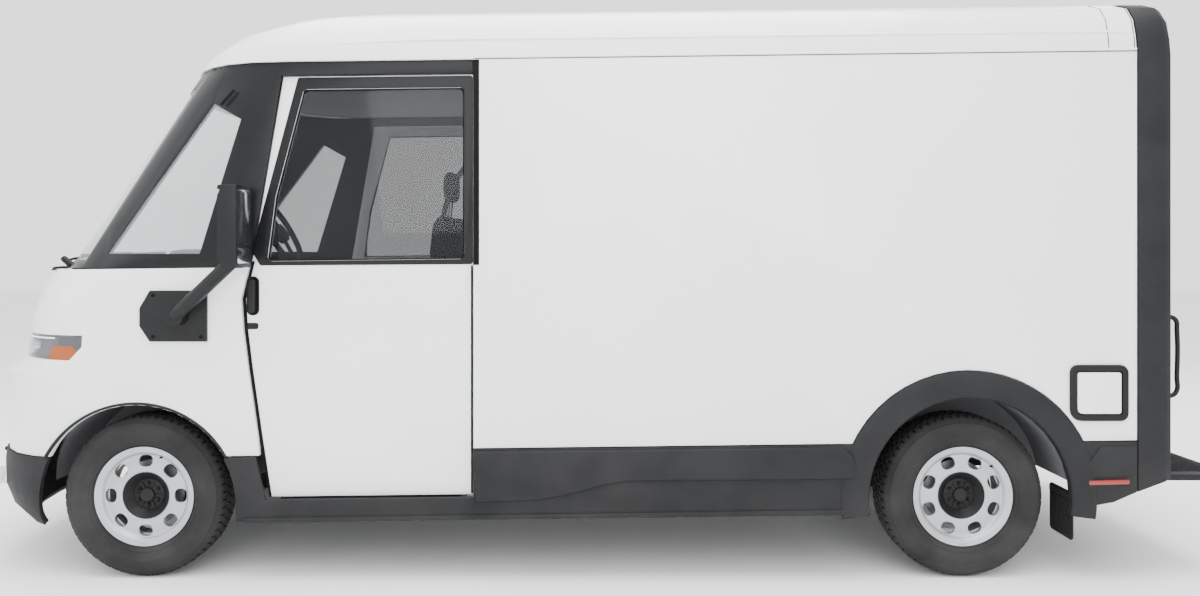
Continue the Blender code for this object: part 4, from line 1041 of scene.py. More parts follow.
# --- sliding cab doors
@dataclass
class CabDoor:
    """Dress of a sliding cab door: window surround, seals, handle and inner trim."""

    face: float = -DOOR_FACE
    proud: float = 0.0035
    edge: tuple = ((0.608, 0.388), (0.566, 0.664), (0.519, 0.992), (0.496, 1.179), (0.487, 1.32),
        (0.529, 1.497), (0.561, 1.683), (0.676, 2.362),)
    window: tuple = ((0.6, 1.496), (0.64, 1.8), (0.772, 2.302), (1.527, 2.302), (1.527, 1.496))

    def build(self) -> None:
        """Model one door's pieces and mirror them."""
        both_sides(self.pieces)

    def pieces(self) -> list:
        """The left door's pieces."""
        return [self.surround(), *self.seals(), *self.handle(), *self.inside()]

    def opening(self, grow: float, low: float, high: float) -> Piece:
        """The cutter of the window, grown by grow."""
        front = [(x, z + RAKE * x) for x, z in self.window]
        middle = Vector((sum(x for x, _ in front) / 5, sum(z for _, z in front) / 5))
        grown = [tuple(Vector(p) + (Vector(p) - middle).normalized() * grow) for p in front]
        return Bench.slab("window_tool", rounded(station(grown), 0.022), "y", low, high)

    def surround(self) -> tuple:
        """Black frame round the window, with the white strip left free ahead of it."""
        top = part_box("left_cab_door")[1][2] - rise(FRONT_AXLE + 1.567) - 0.004
        flat = [(0.566, 1.476), (0.531, 1.536), (0.541, 1.596), (0.745, top), (1.5665, top), (1.5665, 1.47)]
        outline = [(x, z + RAKE * x) for x, z in flat]
        piece = Bench.slab("left_window_surround", rounded(station(outline), 0.012, 3), "y",
            self.face + 0.0002, self.face - self.proud, 0.0015)
        Bench.cut(piece, [self.opening(0.001, self.face - 0.05, self.face + 0.05)])
        return piece, "left_door", Finishes.GLOSS, "gloss_black"

    def seals(self) -> list:
        """Rubber strips on the door's front edge, on its rear edge and round the glass."""
        front = [(x + 0.001, z + RAKE * x) for x, z in self.edge[:6]]
        back = [(x + 0.013, z + RAKE * x) for x, z in reversed(self.edge[:6])]
        lead = Bench.slab("left_door_lead_seal", station(front + back), "y", self.face + 0.0002,
            self.face - 0.003, 0.001)
        tail = Bench.slab("left_door_tail_seal", station([(1.5575, 0.412), (1.5665, 0.412), (1.5665, 1.484),
            (1.5575, 1.484)]), "y", self.face + 0.0002, self.face - 0.002, 0.0008)
        ring = [(x, z + RAKE * x) for x, z in self.window]
        gasket = Bench.slab("left_glass_gasket", rounded(station(ring), 0.022), "y", self.face + 0.01,
            self.face + 0.0024, 0.001)
        Bench.cut(gasket, [self.opening(-0.009, self.face - 0.05, self.face + 0.05)])
        rows = [(lead, Finishes.SEAL), (tail, Finishes.SEAL), (gasket, Finishes.SEAL)]
        return [(piece, "left_door", finish, "black_plastic") for piece, finish in rows]

    def handle(self) -> list:
        """Pull handle in a dark cup at the door's front edge, and the lock below it."""
        cup = Bench.slab("left_handle_cup", rounded(station([(0.503, 1.248), (0.562, 1.248), (0.562, 1.432),
            (0.503, 1.432)]), 0.028, 6), "y", self.face + 0.0002, self.face - 0.006, 0.003)
        with Bench.editing(cup):
            Bench.choose(cup, "FACE", lambda f: f.normal.y < -0.98 and f.calc_area() > 0.002)
            bpy.ops.mesh.inset(thickness=0.006, depth=-0.004)
        grip = Bench.slab("left_handle_grip", rounded(station([(0.518, 1.262), (0.547, 1.262),
            (0.547, 1.418), (0.518, 1.418)]), 0.014, 5), "y", self.face - 0.0022, self.face - 0.022, 0.006,
            3)
        lock = Bench.slab("left_door_lock", rounded(station([(0.497, 1.183), (0.558, 1.183), (0.558, 1.213),
            (0.497, 1.213)]), 0.01, 4), "y", self.face + 0.0002, self.face - 0.004, 0.0015)
        with Bench.editing(lock):
            Bench.choose(lock, "FACE", lambda f: f.normal.y < -0.98 and f.calc_area() > 0.0005)
            bpy.ops.mesh.inset(thickness=0.004, depth=-0.002)
        rows = [(cup, Finishes.GLOSS), (grip, Finishes.SATIN), (lock, Finishes.GLOSS)]
        return [(piece, "left_door", finish, "gloss_black") for piece, finish in rows]

    def inside(self) -> list:
        """Flat inner trim with a sunk field and a pull, thin enough for the wall's pocket."""
        inner = -DOOR_BACK
        outline = [(0.64, 0.47), (0.6, 0.7), (0.56, 1.0), (0.54, 1.2), (0.56, 1.43), (1.52, 1.45),
            (1.52, 0.48)]
        trim = Bench.slab("left_door_trim", rounded(station(outline), 0.03), "y", inner - 0.0002,
            inner + 0.0045, 0.002)
        field_line = [(0.7, 0.54), (0.655, 0.76), (0.62, 1.0), (0.61, 1.12), (1.46, 1.12), (1.46, 0.54)]
        Bench.cut(trim, [Bench.slab("field", rounded(station(field_line), 0.04), "y", inner + 0.0028,
            inner + 0.02)])
        pull = Bench.slab("left_door_pull", rounded(station([(0.62, 1.18), (0.66, 1.18), (0.66, 1.4),
            (0.62, 1.4)]), 0.018, 4), "y", inner + 0.0043, inner + 0.0065, 0.001)
        return [(trim, "left_door", Finishes.TRIM, "grey_trim"), (pull, "left_door", Finishes.SATIN,
            "grey_trim")]


# --- cladding, arches and side marks
@dataclass
class SideDress:
    """Cladding relief, wheel flares, mud flaps, seams, drip rail and marker of each side."""

    face: float = -SIDE_FACE
    flare: tuple = ((0.4725, 1.045), (0.4725, 1.07), (0.479, 1.077), (0.498, 1.0765), (0.56, 1.066),
        (0.59, 1.062), (0.5975, 1.056), (0.5975, 1.045))
    ring_steps: int = 44
    rear_arch: tuple = (REAR_AXLE, 0.393)
    front_arch: tuple = (FRONT_AXLE - 0.014, 0.352)
    front_lip: tuple = ((0.4775, 1.02), (0.4775, 1.0385), (0.48, 1.041), (0.488, 1.04), (0.49, 1.0364),
        (0.49, 1.02))

    def build(self) -> None:
        """Model the left side's pieces and mirror them."""
        both_sides(self.pieces)

    def pieces(self) -> list:
        """The left side's pieces."""
        dark, slot = Finishes.PLASTIC, "black_plastic"
        rows = [(piece, "van", dark, slot) for piece in (self.relief(), self.sill(), self.rear_flare(),
            self.front_flare(), self.mud_flap(), self.tail_relief())]
        rows += [(piece, "van", Finishes.SEAL, slot) for piece in (*self.seams(), self.slit())]
        rows.append((self.marker(), "van", Finishes.RED, "red_lamp"))
        rows.append((self.drip_rail(), "van", Finishes.WHITE, "white_paint"))
        return rows

    def relief(self) -> Piece:
        """Raised upper band of the cladding with its S-shaped lower edge."""
        high = [(1.58, 0.616), (3.29, 0.637)]
        low = [(3.383, 0.487), (2.304, 0.478), (2.19, 0.462), (2.1, 0.436), (1.99, 0.408), (1.87, 0.389),
            (1.58, 0.376)]
        curve = [high[0], high[1], (3.345, 0.6)] + low
        return Bench.slab("left_cladding_relief", station(curve), "y", self.face + 0.001, self.face - 0.015,
            0.011, 4)

    def sill(self) -> Piece:
        """Rolled lower lip between the arches."""
        outline = [(0.48, 0.284), (3.43, 0.318), (3.414, 0.346), (0.5, 0.306)]
        return Bench.slab("left_sill_lip", station(outline), "y", self.face + 0.001, self.face - 0.006,
            0.005, 2)

    def tail_relief(self) -> Piece:
        """Raised band behind the rear arch, below the charge flap."""
        outline = [(4.5, 0.64), (4.67, 0.645), (4.67, 0.505), (4.42, 0.486), (4.445, 0.56)]
        return Bench.slab("left_tail_relief", rounded(station(outline), 0.012, 3), "y", self.face + 0.001,
            self.face - 0.006, 0.005, 2)

    def ring(self, name: str, profile: Sequence[tuple], centre: tuple, start: float, sweep: float) -> Piece:
        """A closed profile swept over an arch, its ends closed."""
        x, z = centre
        first = math.radians(start)
        way = Vector((math.cos(first), 0.0, math.sin(first)))
        middle = Vector((x, 0.0, z))
        points = [middle + way * radius + Vector((0, -out, 0)) for radius, out in profile]
        piece = Bench.trace(name, points, closed=True)
        with Bench.editing(piece):
            bpy.ops.mesh.spin(steps=self.ring_steps, angle=math.radians(sweep), center=tuple(middle),
                axis=(0, 1, 0))
            bpy.ops.mesh.select_all(action="SELECT")
            bpy.ops.mesh.remove_doubles(threshold=0.00002)
            bpy.ops.mesh.fill_holes(sides=0)
            bpy.ops.mesh.select_all(action="SELECT")
            bpy.ops.mesh.normals_make_consistent(inside=False)
        return piece

    def rear_flare(self) -> Piece:
        """Bulged flare over the rear wheel."""
        return self.ring("left_rear_flare", self.flare, self.rear_arch, -9.0, 198.0)

    def front_flare(self) -> Piece:
        """Narrow dark lip round the front arch."""
        return self.ring("left_front_lip", self.front_lip, self.front_arch, 28.5, 124.0)

    def mud_flap(self) -> Piece:
        """Rubber flap behind the rear wheel with its clamp bar."""
        y_near, y_far = -1.045, -0.812
        outline = [(y_near, 0.194), (y_far, 0.194), (y_far, 0.42), (y_near, 0.42)]
        flap = Bench.slab("flap", rounded(outline, 0.02, 4), "x", 2.275, 2.281, 0.001)
        bar = Bench.brick("bar", (2.269, y_near + 0.006, 0.382), (2.287, y_far - 0.006, 0.412), 0.002)
        ribs = Bench.row(Bench.brick("rib", (2.2722, y_near + 0.02, 0.21), (2.2755, y_near + 0.026, 0.372),
            0.001, 1), 8, (0.0, 0.027, 0.0))
        return Bench.join("left_mud_flap", [flap, bar, ribs])

    def seams(self) -> list:
        """Dark trim on the wall's front edge beside the window, and a near-black strip above the cladding
        at the roof joint, just below the drip rail, that stands for the joint and for the rail's painted
        shadow.
        """
        post = Bench.slab("left_front_edge_trim", station([(1.5735, 1.486), (1.6, 1.486), (1.6, 2.446),
            (1.5735, 2.446)]), "y", -HALF_WIDTH + 0.001, -HALF_WIDTH - 0.002, 0.001)
        # Near-black strip just below the drip rail: the roof joint, plus painted shadow cast by the rail.
        joint = Bench.slab("left_gutter_joint", [(-0.52, 2.449), (2.572, 2.486), (2.572, 2.4885),
            (-0.52, 2.4515)], "y", -HALF_WIDTH + 0.002, -HALF_WIDTH - 0.0006)
        return [post, joint]

    def slit(self) -> Piece:
        """Slanted drain slot above the quarter glass."""
        outline = [(0.38, 2.236), (0.394, 2.232), (0.457, 2.303), (0.445, 2.31)]
        return Bench.slab("left_pillar_slot", rounded(station(outline), 0.005, 3), "y", -1.0355, -1.0385,
            0.001)

    def marker(self) -> Piece:
        """Slim red side marker low at the rear."""
        outline = [(4.4415, 0.459), (4.633, 0.464), (4.633, 0.486), (4.4415, 0.481)]
        return Bench.slab("left_side_marker", rounded(station(outline), 0.006, 3), "y", self.face + 0.001,
            self.face - 0.01, 0.003)

    def drip_rail(self) -> Piece:
        """Slim rail that hides the roof joint."""
        outline = [(-0.528, 2.4525), (2.574, 2.49), (2.574, 2.502), (-0.528, 2.4645)]
        return Bench.slab("left_drip_rail", outline, "y", -HALF_WIDTH + 0.004, -HALF_WIDTH - 0.005, 0.004,
            3)


# --- roof
@dataclass
class RoofDress:
    """Swage lines and seams of the roof."""

    levels: tuple = ((0.0, 0.0), (0.26, 0.01), (0.55, 0.034), (0.78, 0.09), (0.92, 0.2), (0.98, 0.45))
    crown: float = 0.282

    def cross_line(self, x: float, lift: float) -> list:
        """Points over the roof at x, lifted off it."""
        half = [(-(HALF_WIDTH - inset), GUTTER + share * self.crown) for share, inset in self.levels]
        line = [(x, y, z + rise(x) + lift) for y, z in half]
        return line + [(px, -y, z) for px, y, z in reversed(line)]

    def build(self) -> None:
        """Cross seams, the shallow ribs on top and the swage along each shoulder."""
        seams = [Bench.tube("seam", self.cross_line(x, -0.0005), 0.0022, 1, smooth=False)
            for x in (2.445, 2.566)]
        Yard.hang(Bench.join("roof_seams", seams), "van", Finishes.SEAL, "black_plastic")
        rib = Bench.slab("rib", pane(-0.2, -0.03, 2.3, 0.03, 0.028, 5), "z",
            GUTTER + 0.98 * self.crown + rise(0.4) - 0.012, GUTTER + 0.98 * self.crown + rise(0.4) - 0.002,
            0.006, 3)
        Bench.tilt(rib, "y", -math.degrees(math.atan(RAKE)), (1.05, 0.0, GUTTER + self.crown))
        with Bench.editing(rib):
            bpy.ops.transform.translate(value=(0.0, -0.36, 0.0135))
        Bench.row(rib, 5, (0.0, 0.18, 0.0))
        Yard.hang(Bench.join("roof_ribs", [rib]), "van", Finishes.WHITE, "white_paint")
        both_sides(self.swages)

    def swages(self) -> list:
        """Soft moulding line that runs back along the roof's shoulder."""
        path = []
        for step in range(15):
            x = FRONT_AXLE + 0.78 + step * 0.275
            share = min(1.0, (x - FRONT_AXLE - 0.78) / 0.5)
            z = GUTTER + self.crown * (0.26 + 0.08 * share) + rise(x)
            path.append((x, -(HALF_WIDTH - 0.0145 - 0.0015 * share), z))
        line = Bench.tube("left_roof_swage", path, 0.006, 2)
        return [(line, "van", Finishes.WHITE, "white_paint")]


# --- front end
@dataclass
class FrontEnd:
    """Headlights, cowl, wipers, grille and bumper details."""

    wiper_slope: float = 50.0
    lamp_bowls: tuple = ((0.64, 0.03), (0.74, 0.032), (0.83, 0.026))

    def surface(self, y: float, ahead: float, corner: float = -2.268, half: float = 1.036) -> Vector:
        """Place on the nose's horizontal line at y.

        Args:
            y: Distance from the middle, towards the left as negative.
            ahead: How far the nose's foremost point is ahead of the front axle.
            corner: Where the line leaves the straight side.
            half: Half of the nose's width.

        Returns:
            The surface's x with y, at height 0.
        """
        share = min(abs(y) / half, 1.0)
        turn = math.acos(share ** 1.25)
        x = corner - (corner - (FRONT_AXLE - ahead)) * math.sin(turn) ** 0.8
        return Vector((x, y, 0.0))

    def band(self, name: str, low: float, high: float, y_from: float, y_to: float, ahead: tuple,
            proud: float, steps: int = 24) -> Piece:
        """A strip that follows the nose between two heights.

        Args:
            name: The object's name.
            low: Its lower edge.
            high: Its upper edge.
            y_from: Where it starts across the van.
            y_to: Where it ends.
            ahead: The nose's foremost point at the lower and at the upper edge.
            proud: How far it stands off the surface.
            steps: Steps along it.

        Returns:
            The strip with rounded edges.
        """
        points = []
        for step in range(steps + 1):
            y = y_from + (y_to - y_from) * step / steps
            spot = self.surface(y, ahead[0])
            points.append((spot.x - proud, y, low + rise(spot.x)))
        piece = Bench.trace(name, points)
        gain = ahead[0] - ahead[1]
        with Bench.editing(piece):
            move = {"value": (gain, 0.0, high - low)}
            bpy.ops.mesh.extrude_edges_move(TRANSFORM_OT_translate=move)
        Bench.take(piece)
        wall = piece.modifiers.new("wall", "SOLIDIFY")
        wall.thickness = 0.008
        wall.offset = 0.0
        bpy.ops.object.modifier_apply(modifier=wall.name)
        return Bench.soften(piece, 0.002, 50.0, 2)

    def build(self) -> None:
        """Model all of the front's pieces."""
        self.build_headlights()
        self.build_face()
        self.build_wipers()

    def build_headlights(self) -> None:
        """Split each lens into a clear part and an amber corner, with lamps behind."""
        for side in Side:
            sign = side.value
            node = f"{side.label}_headlight"
            near, far = sorted((sign * 0.5, sign * 1.2))
            wedge = station([(-0.455, 1.028), (-0.33, 1.028), (-0.285, 1.068), (-0.318, 1.102),
                (-0.43, 1.102)])
            amber = Bench.finer(node, f"{side.label}_indicator")
            Bench.cut(amber, [Bench.slab("amber_tool", wedge, "y", near, far)], "INTERSECT")
            lens = Bench.finer(node, f"{side.label}_lens")
            Bench.cut(lens, [Bench.slab("lens_tool", wedge, "y", near, far)])
            Yard.hang(lens, "van", Finishes.LENS, "lamp", [node])
            Yard.hang(amber, "van", Finishes.AMBER, "lamp")
            back = []
            for y, radius in self.lamp_bowls:
                spot = self.surface(sign * y, 0.806)
                bowl = [(0.0, 0.03), (radius * 0.55, 0.026), (radius * 0.8, 0.016), (radius * 0.86, 0.0),
                    (radius, -0.004), (radius * 1.06, 0.004), (radius * 0.9, 0.03), (0.0, 0.042)]
                centre = (spot.x + 0.034, sign * y, 1.098 + rise(spot.x))
                back.append(Bench.lathe("bowl", [(r, a) for r, a in bowl], centre, (1, 0, 0), 28))
            Yard.hang(Bench.join(f"{side.label}_projectors", back), "van", Finishes.REFLECTOR, "lamp")
            strip = self.band(f"{side.label}_daylight", 1.1405, 1.147, sign * 0.59, sign * 0.99,
                (0.803, 0.803), -0.011)
            Yard.hang(strip, "van", Finishes.DAYLIGHT, "lamp")
            shroud = self.band(f"{side.label}_lamp_shroud", 1.042, 1.15, sign * 0.572, sign * 1.02,
                (0.818, 0.803), -0.07)
            Yard.hang(shroud, "van", Finishes.GLOSS, "gloss_black")

    def build_face(self) -> None:
        """Dark strip between the headlights, lower grille, plate holder, fog lamps and sensors."""
        strip = self.band("nose_strip", 1.056, 1.146, -0.552, 0.552, (0.8145, 0.803), 0.0035)
        Yard.hang(strip, "van", Finishes.GLOSS, "gloss_black")
        grille = self.band("lower_grille", 0.395, 0.5, -0.56, 0.56, (0.94, 0.943), 0.001)
        bars = [self.band("bar", z, z + 0.01, -0.54, 0.54, (0.94, 0.9405), 0.005)
            for z in (0.41, 0.436, 0.462, 0.486)]
        Yard.hang(grille, "van", Finishes.SEAL, "black_plastic")
        Yard.hang(Bench.join("grille_bars", bars), "van", Finishes.PLASTIC, "black_plastic")
        nose = self.surface(0.0, 0.93).x
        holder = Bench.slab("plate_holder", pane(-0.165, 0.69, 0.165, 0.86, 0.01, 3), "x", nose + 0.01,
            nose - 0.007, 0.003)
        Yard.hang(holder, "van", Finishes.SATIN, "black_plastic")
        plate = Bench.slab("blank_plate", pane(-0.155, 0.7, 0.155, 0.85, 0.008, 3), "x", nose - 0.006,
            nose - 0.009, 0.0008)
        with Bench.editing(plate):
            Bench.choose(plate, "FACE", lambda f: f.normal.x < -0.98 and f.calc_area() > 0.01)
            bpy.ops.mesh.inset(thickness=0.004, depth=0.0)
            bpy.ops.mesh.inset(thickness=0.002, depth=-0.0008)
        Yard.hang(plate, "van", Finishes.WALL, "white_paint")
        both_sides(self.face_sides)

    def face_sides(self) -> list:
        """Fog lamp and parking sensors of the left half."""
        rows = []
        spot = self.surface(-0.78, 0.945, -2.28, 1.042)
        fog = Bench.lathe("left_fog_lamp", [(0.0, 0.02), (0.03, 0.016), (0.036, 0.004), (0.042, 0.0),
            (0.044, 0.01), (0.044, 0.06)], (spot.x - 0.04, -0.78, 0.445), (1.0, 0.0, 0.0), 32)
        rows.append((fog, "van", Finishes.LENS, "lamp"))
        for i, y in enumerate((-0.3, -0.64)):
            spot = self.surface(y, 0.949, -2.28, 1.042)
            eye = Bench.lathe(f"left_park_sensor_{i}", [(0.0, -0.003), (0.0085, -0.002), (0.011, 0.001),
                (0.011, 0.02)], (spot.x - 0.001, y, 0.548), (1.0, 0.0, 0.0), 20)
            rows.append((eye, "van", Finishes.SATIN, "black_plastic"))
        return rows

    def build_wipers(self) -> None:
        """Cowl grille and two wipers at the windshield's foot."""
        cowl = self.band("cowl", 1.462, 1.478, -0.78, 0.78, (0.652, 0.64), 0.004)
        Yard.hang(cowl, "van", Finishes.PLASTIC, "black_plastic")
        slope = math.radians(self.wiper_slope)
        for i, y in enumerate((-0.56, 0.08)):
            base = self.surface(y, 0.63, -1.94, 1.036)
            foot = Vector((base.x - 0.028, y, 1.5))
            up = Vector((math.cos(slope), 0.0, math.sin(slope)))
            run = foot + Vector((0.0, 0.38, 0.0)) + up * 0.04
            arm = Bench.tube("arm", [foot, foot + Vector((0, 0.06, 0)) + up * 0.012, run], 0.0065, 2)
            blade = Bench.tube("blade", [run + Vector((0.004, -0.28, -0.004)), run + Vector((-0.004, 0, 0)),
                run + Vector((0.004, 0.29, 0.004))], 0.008, 2)
            pivot = Bench.lathe("pivot", [(0.0, 0.026), (0.014, 0.024), (0.017, 0.01), (0.017, -0.04)],
                tuple(foot), tuple(Vector((-math.sin(slope), 0, math.cos(slope)))), 20)
            Yard.hang(Bench.join(f"wiper_{i}", [arm, blade, pivot]), "van", Finishes.SATIN, "black_plastic")


# --- mirrors
@dataclass
class MirrorDress:
    """Mirror glass, head cap, joints and plate screws."""

    face: float = -1.0364

    def build(self) -> None:
        """Model the left mirror's dress and mirror it."""
        both_sides(self.pieces)

    def pieces(self) -> list:
        """The left mirror's pieces."""
        near, far = self.face - 0.084, self.face - 0.256
        x = FRONT_AXLE + 0.5518
        rows = []
        for name, low, high in (("left_mirror_glass", 1.58, 1.828), ("left_wide_glass", 1.496, 1.566)):
            glass = Bench.slab(name, pane(far, low, near, high, 0.016, 4), "x", x, x + 0.0028, 0.0008)
            rows.append((glass, "van", Finishes.REFLECTOR, "glass"))
        rim = Bench.slab("left_mirror_rim", pane(far - 0.008, 1.486, near + 0.008, 1.838, 0.02, 4), "x",
            x - 0.002, x + 0.004, 0.0015)
        Bench.cut(rim, [Bench.slab("hole", pane(far, low, near, high, 0.016, 4), "x", x - 0.01, x + 0.01)
            for low, high in ((1.58, 1.828), (1.496, 1.566))])
        rows.append((rim, "van", Finishes.SATIN, "black_plastic"))
        cap = Bench.slab("left_mirror_cap", rounded(station([(0.466, 1.826), (0.47, 1.846), (0.556, 1.849),
            (0.556, 1.834)]), 0.004, 2), "y", self.face - 0.069, self.face - 0.2698, 0.004, 2, both=True)
        rows.append((cap, "van", Finishes.SATIN, "black_plastic"))
        collar = Bench.lathe("left_mirror_collar", [(0.0, 0.03), (0.036, 0.03), (0.044, 0.022),
            (0.046, 0.0), (0.044, -0.022), (0.036, -0.03), (0.0, -0.03)],
            (FRONT_AXLE + 0.506, self.face - 0.15, 1.505), (0, 0, 1), 32)
        rows.append((collar, "van", Finishes.SATIN, "black_plastic"))
        screws = [Bench.lathe("screw", [(0.0, 0.003), (0.005, 0.0028), (0.009, 0.0018), (0.01, -0.002)],
            (FRONT_AXLE + px, self.face - 0.016, pz), steps=14, out=-1.0)
            for px, pz in ((0.075, 1.15), (0.3, 1.15), (0.3, 1.345), (0.075, 1.345))]
        rows.append((Bench.join("left_mirror_screws", screws), "van", Finishes.SEAL, "black_plastic"))
        return rows


# --- rear end
@dataclass
class RearEnd:
    """Roll-up door hardware, lamps, plate, step tread and grab handles."""

    slats: int = 14
    half: float = 0.8725
    door_face: float = 2.674

    def build(self) -> None:
        """Model the rear's pieces."""
        self.build_door()
        self.build_lamps()
        self.build_step()
        both_sides(self.side_pieces)

    def build_door(self) -> None:
        """Slats with rounded edges, bottom bar, lift handle and latch."""
        low, high = FLOOR + 0.0006, GUTTER - 0.0606
        pitch = (high - low) / self.slats
        slat = Bench.slab("slat", [(self.door_face - 0.024, low + 0.0008),
            (self.door_face - 0.0065, low + 0.0008), (self.door_face - 0.001, low + 0.006),
            (self.door_face, low + 0.0105), (self.door_face, low + pitch - 0.0105),
            (self.door_face - 0.001, low + pitch - 0.006), (self.door_face - 0.0065, low + pitch - 0.0008),
            (self.door_face - 0.024, low + pitch - 0.0008)], "y", -self.half + 0.0008, self.half - 0.0008)
        Bench.row(slat, self.slats, (0.0, 0.0, pitch))
        slat.name = "roll_door"
        Yard.hang(slat, "van", Finishes.WHITE, "white_paint", ["rear_door"], 50.0)
        bar = Bench.slab("door_bottom_bar", pane(self.door_face - 0.004, low, self.door_face + 0.01,
            low + 0.06, 0.004, 2), "y", -self.half + 0.004, self.half - 0.004, 0.002, 1, both=True)
        Yard.hang(bar, "van", Finishes.BARE, "steel")
        grip = Bench.tube("grip", [(self.door_face + 0.004, -0.1, 0.862),
            (self.door_face + 0.036, -0.1, 0.862), (self.door_face + 0.036, 0.1, 0.862),
            (self.door_face + 0.004, 0.1, 0.862)], 0.0085, 3, smooth=False)
        feet = [Bench.brick("foot", (self.door_face - 0.001, y - 0.018, 0.842),
            (self.door_face + 0.006, y + 0.018, 0.882), 0.002) for y in (-0.1, 0.1)]
        latch = Bench.slab("latch", pane(-0.06, 0.906, 0.06, 0.976, 0.01, 3), "x", self.door_face - 0.001,
            self.door_face + 0.01, 0.003)
        knob = Bench.lathe("knob", [(0.0, 0.024), (0.012, 0.024), (0.015, 0.02), (0.015, 0.0)],
            (self.door_face + 0.006, 0.0, 0.941), (1, 0, 0), 24)
        Yard.hang(Bench.join("door_handle", [grip, *feet, latch, knob]), "van", Finishes.SATIN,
            "black_plastic")

    def build_lamps(self) -> None:
        """High stop lamp, marker lamps, reversing camera and number plate."""
        lamp = Bench.slab("high_stop_lamp", pane(-0.16, 2.515, 0.16, 2.548, 0.01, 3), "x", REAR_FACE - 0.02,
            REAR_FACE + 0.008, 0.003)
        Yard.hang(lamp, "van", Finishes.RED, "red_lamp")
        marks = [Bench.slab("mark", pane(y - 0.045, 2.59, y + 0.045, 2.614, 0.009, 3), "x",
            REAR_FACE - 0.022, REAR_FACE + 0.005, 0.003) for y in (-0.76, -0.16, 0.0, 0.16, 0.76)]
        Yard.hang(Bench.join("rear_markers", marks), "van", Finishes.RED, "red_lamp")
        eye = Bench.lathe("eye", [(0.0, 0.016), (0.007, 0.015), (0.01, 0.01), (0.012, 0.0)],
            (REAR_FACE + 0.018, 0.0, 2.456), (1, 0, 0), 24)
        hood = Bench.slab("hood", pane(-0.036, 2.43, 0.036, 2.482, 0.012, 4), "x", REAR_FACE - 0.004,
            REAR_FACE + 0.022, 0.005, 3)
        Yard.hang(Bench.join("rear_camera", [hood, eye]), "van", Finishes.GLOSS, "gloss_black")
        plate = Bench.slab("rear_plate", pane(-0.155, 0.56, 0.155, 0.7, 0.008, 3), "x", REAR_FACE - 0.001,
            REAR_FACE + 0.004, 0.0008)
        with Bench.editing(plate):
            Bench.choose(plate, "FACE", lambda f: f.normal.x > 0.98 and f.calc_area() > 0.01)
            bpy.ops.mesh.inset(thickness=0.005, depth=0.0)
            bpy.ops.mesh.inset(thickness=0.002, depth=-0.001)
        Yard.hang(plate, "van", Finishes.WALL, "white_paint")
        shade = Bench.slab("plate_lamp", pane(-0.06, 0.706, 0.06, 0.724, 0.006, 2), "x", REAR_FACE - 0.001,
            REAR_FACE + 0.022, 0.003)
        Yard.hang(shade, "van", Finishes.SATIN, "black_plastic")

    def build_step(self) -> None:
        """Raised grip ribs and an edge strip on the rear step."""
        rib = Bench.slab("rib", pane(2.79, -0.94, 2.796, 0.94, 0.0028, 2), "z", 0.495, 0.5, 0.0012, 1)
        Bench.row(rib, 13, (0.018, 0.0, 0.0))
        rib.name = "step_ribs"
        Yard.hang(rib, "van", Finishes.MAT, "black_plastic")
        lip = Bench.slab("step_edge", [(3.03, 0.464), (3.048, 0.464), (3.0495, 0.48), (3.048, 0.4995),
            (3.03, 0.4995)], "y", -0.9995, 0.9995, 0.003, 2, both=True)
        Yard.hang(lip, "van", Finishes.PLASTIC, "black_plastic")

    def side_pieces(self) -> list:
        """Lamp cluster, reflector, grab handle and door guide of the left side."""
        rows = []
        near, far = -0.905, -0.965
        for name, low, high, finish in (("left_stop_lamp", 1.56, 1.696, Finishes.RED),
                ("left_turn_lamp", 1.432, 1.548, Finishes.AMBER), ("left_reverse_lamp", 1.304, 1.42,
                Finishes.LENS)):
            lens = Bench.slab(name, pane(far, low, near, high, 0.01, 3), "x", REAR_FACE + 0.014,
                REAR_FACE + 0.024, 0.004, 3)
            rows.append((lens, "van", finish, "lamp"))
        catch = Bench.slab("left_reflector", pane(-0.99, 0.56, -0.93, 0.64, 0.008, 3), "x",
            REAR_FACE - 0.002, REAR_FACE + 0.006, 0.002)
        rows.append((catch, "van", Finishes.RED, "red_lamp"))
        bar = Bench.tube("left_grab_bar", [(REAR_FACE - 0.002, -0.99, 0.86),
            (REAR_FACE + 0.04, -0.99, 0.88), (REAR_FACE + 0.046, -0.99, 0.96),
            (REAR_FACE + 0.046, -0.99, 1.18), (REAR_FACE + 0.04, -0.99, 1.225),
            (REAR_FACE - 0.002, -0.99, 1.245)], 0.011, 3)
        rows.append((bar, "van", Finishes.SATIN, "black_plastic"))
        guide = Bench.brick("left_roll_track", (2.626, -0.8728, FLOOR + 0.002), (2.7, -0.862, 2.366), 0.002)
        rows.append((guide, "van", Finishes.BARE, "steel"))
        return rows


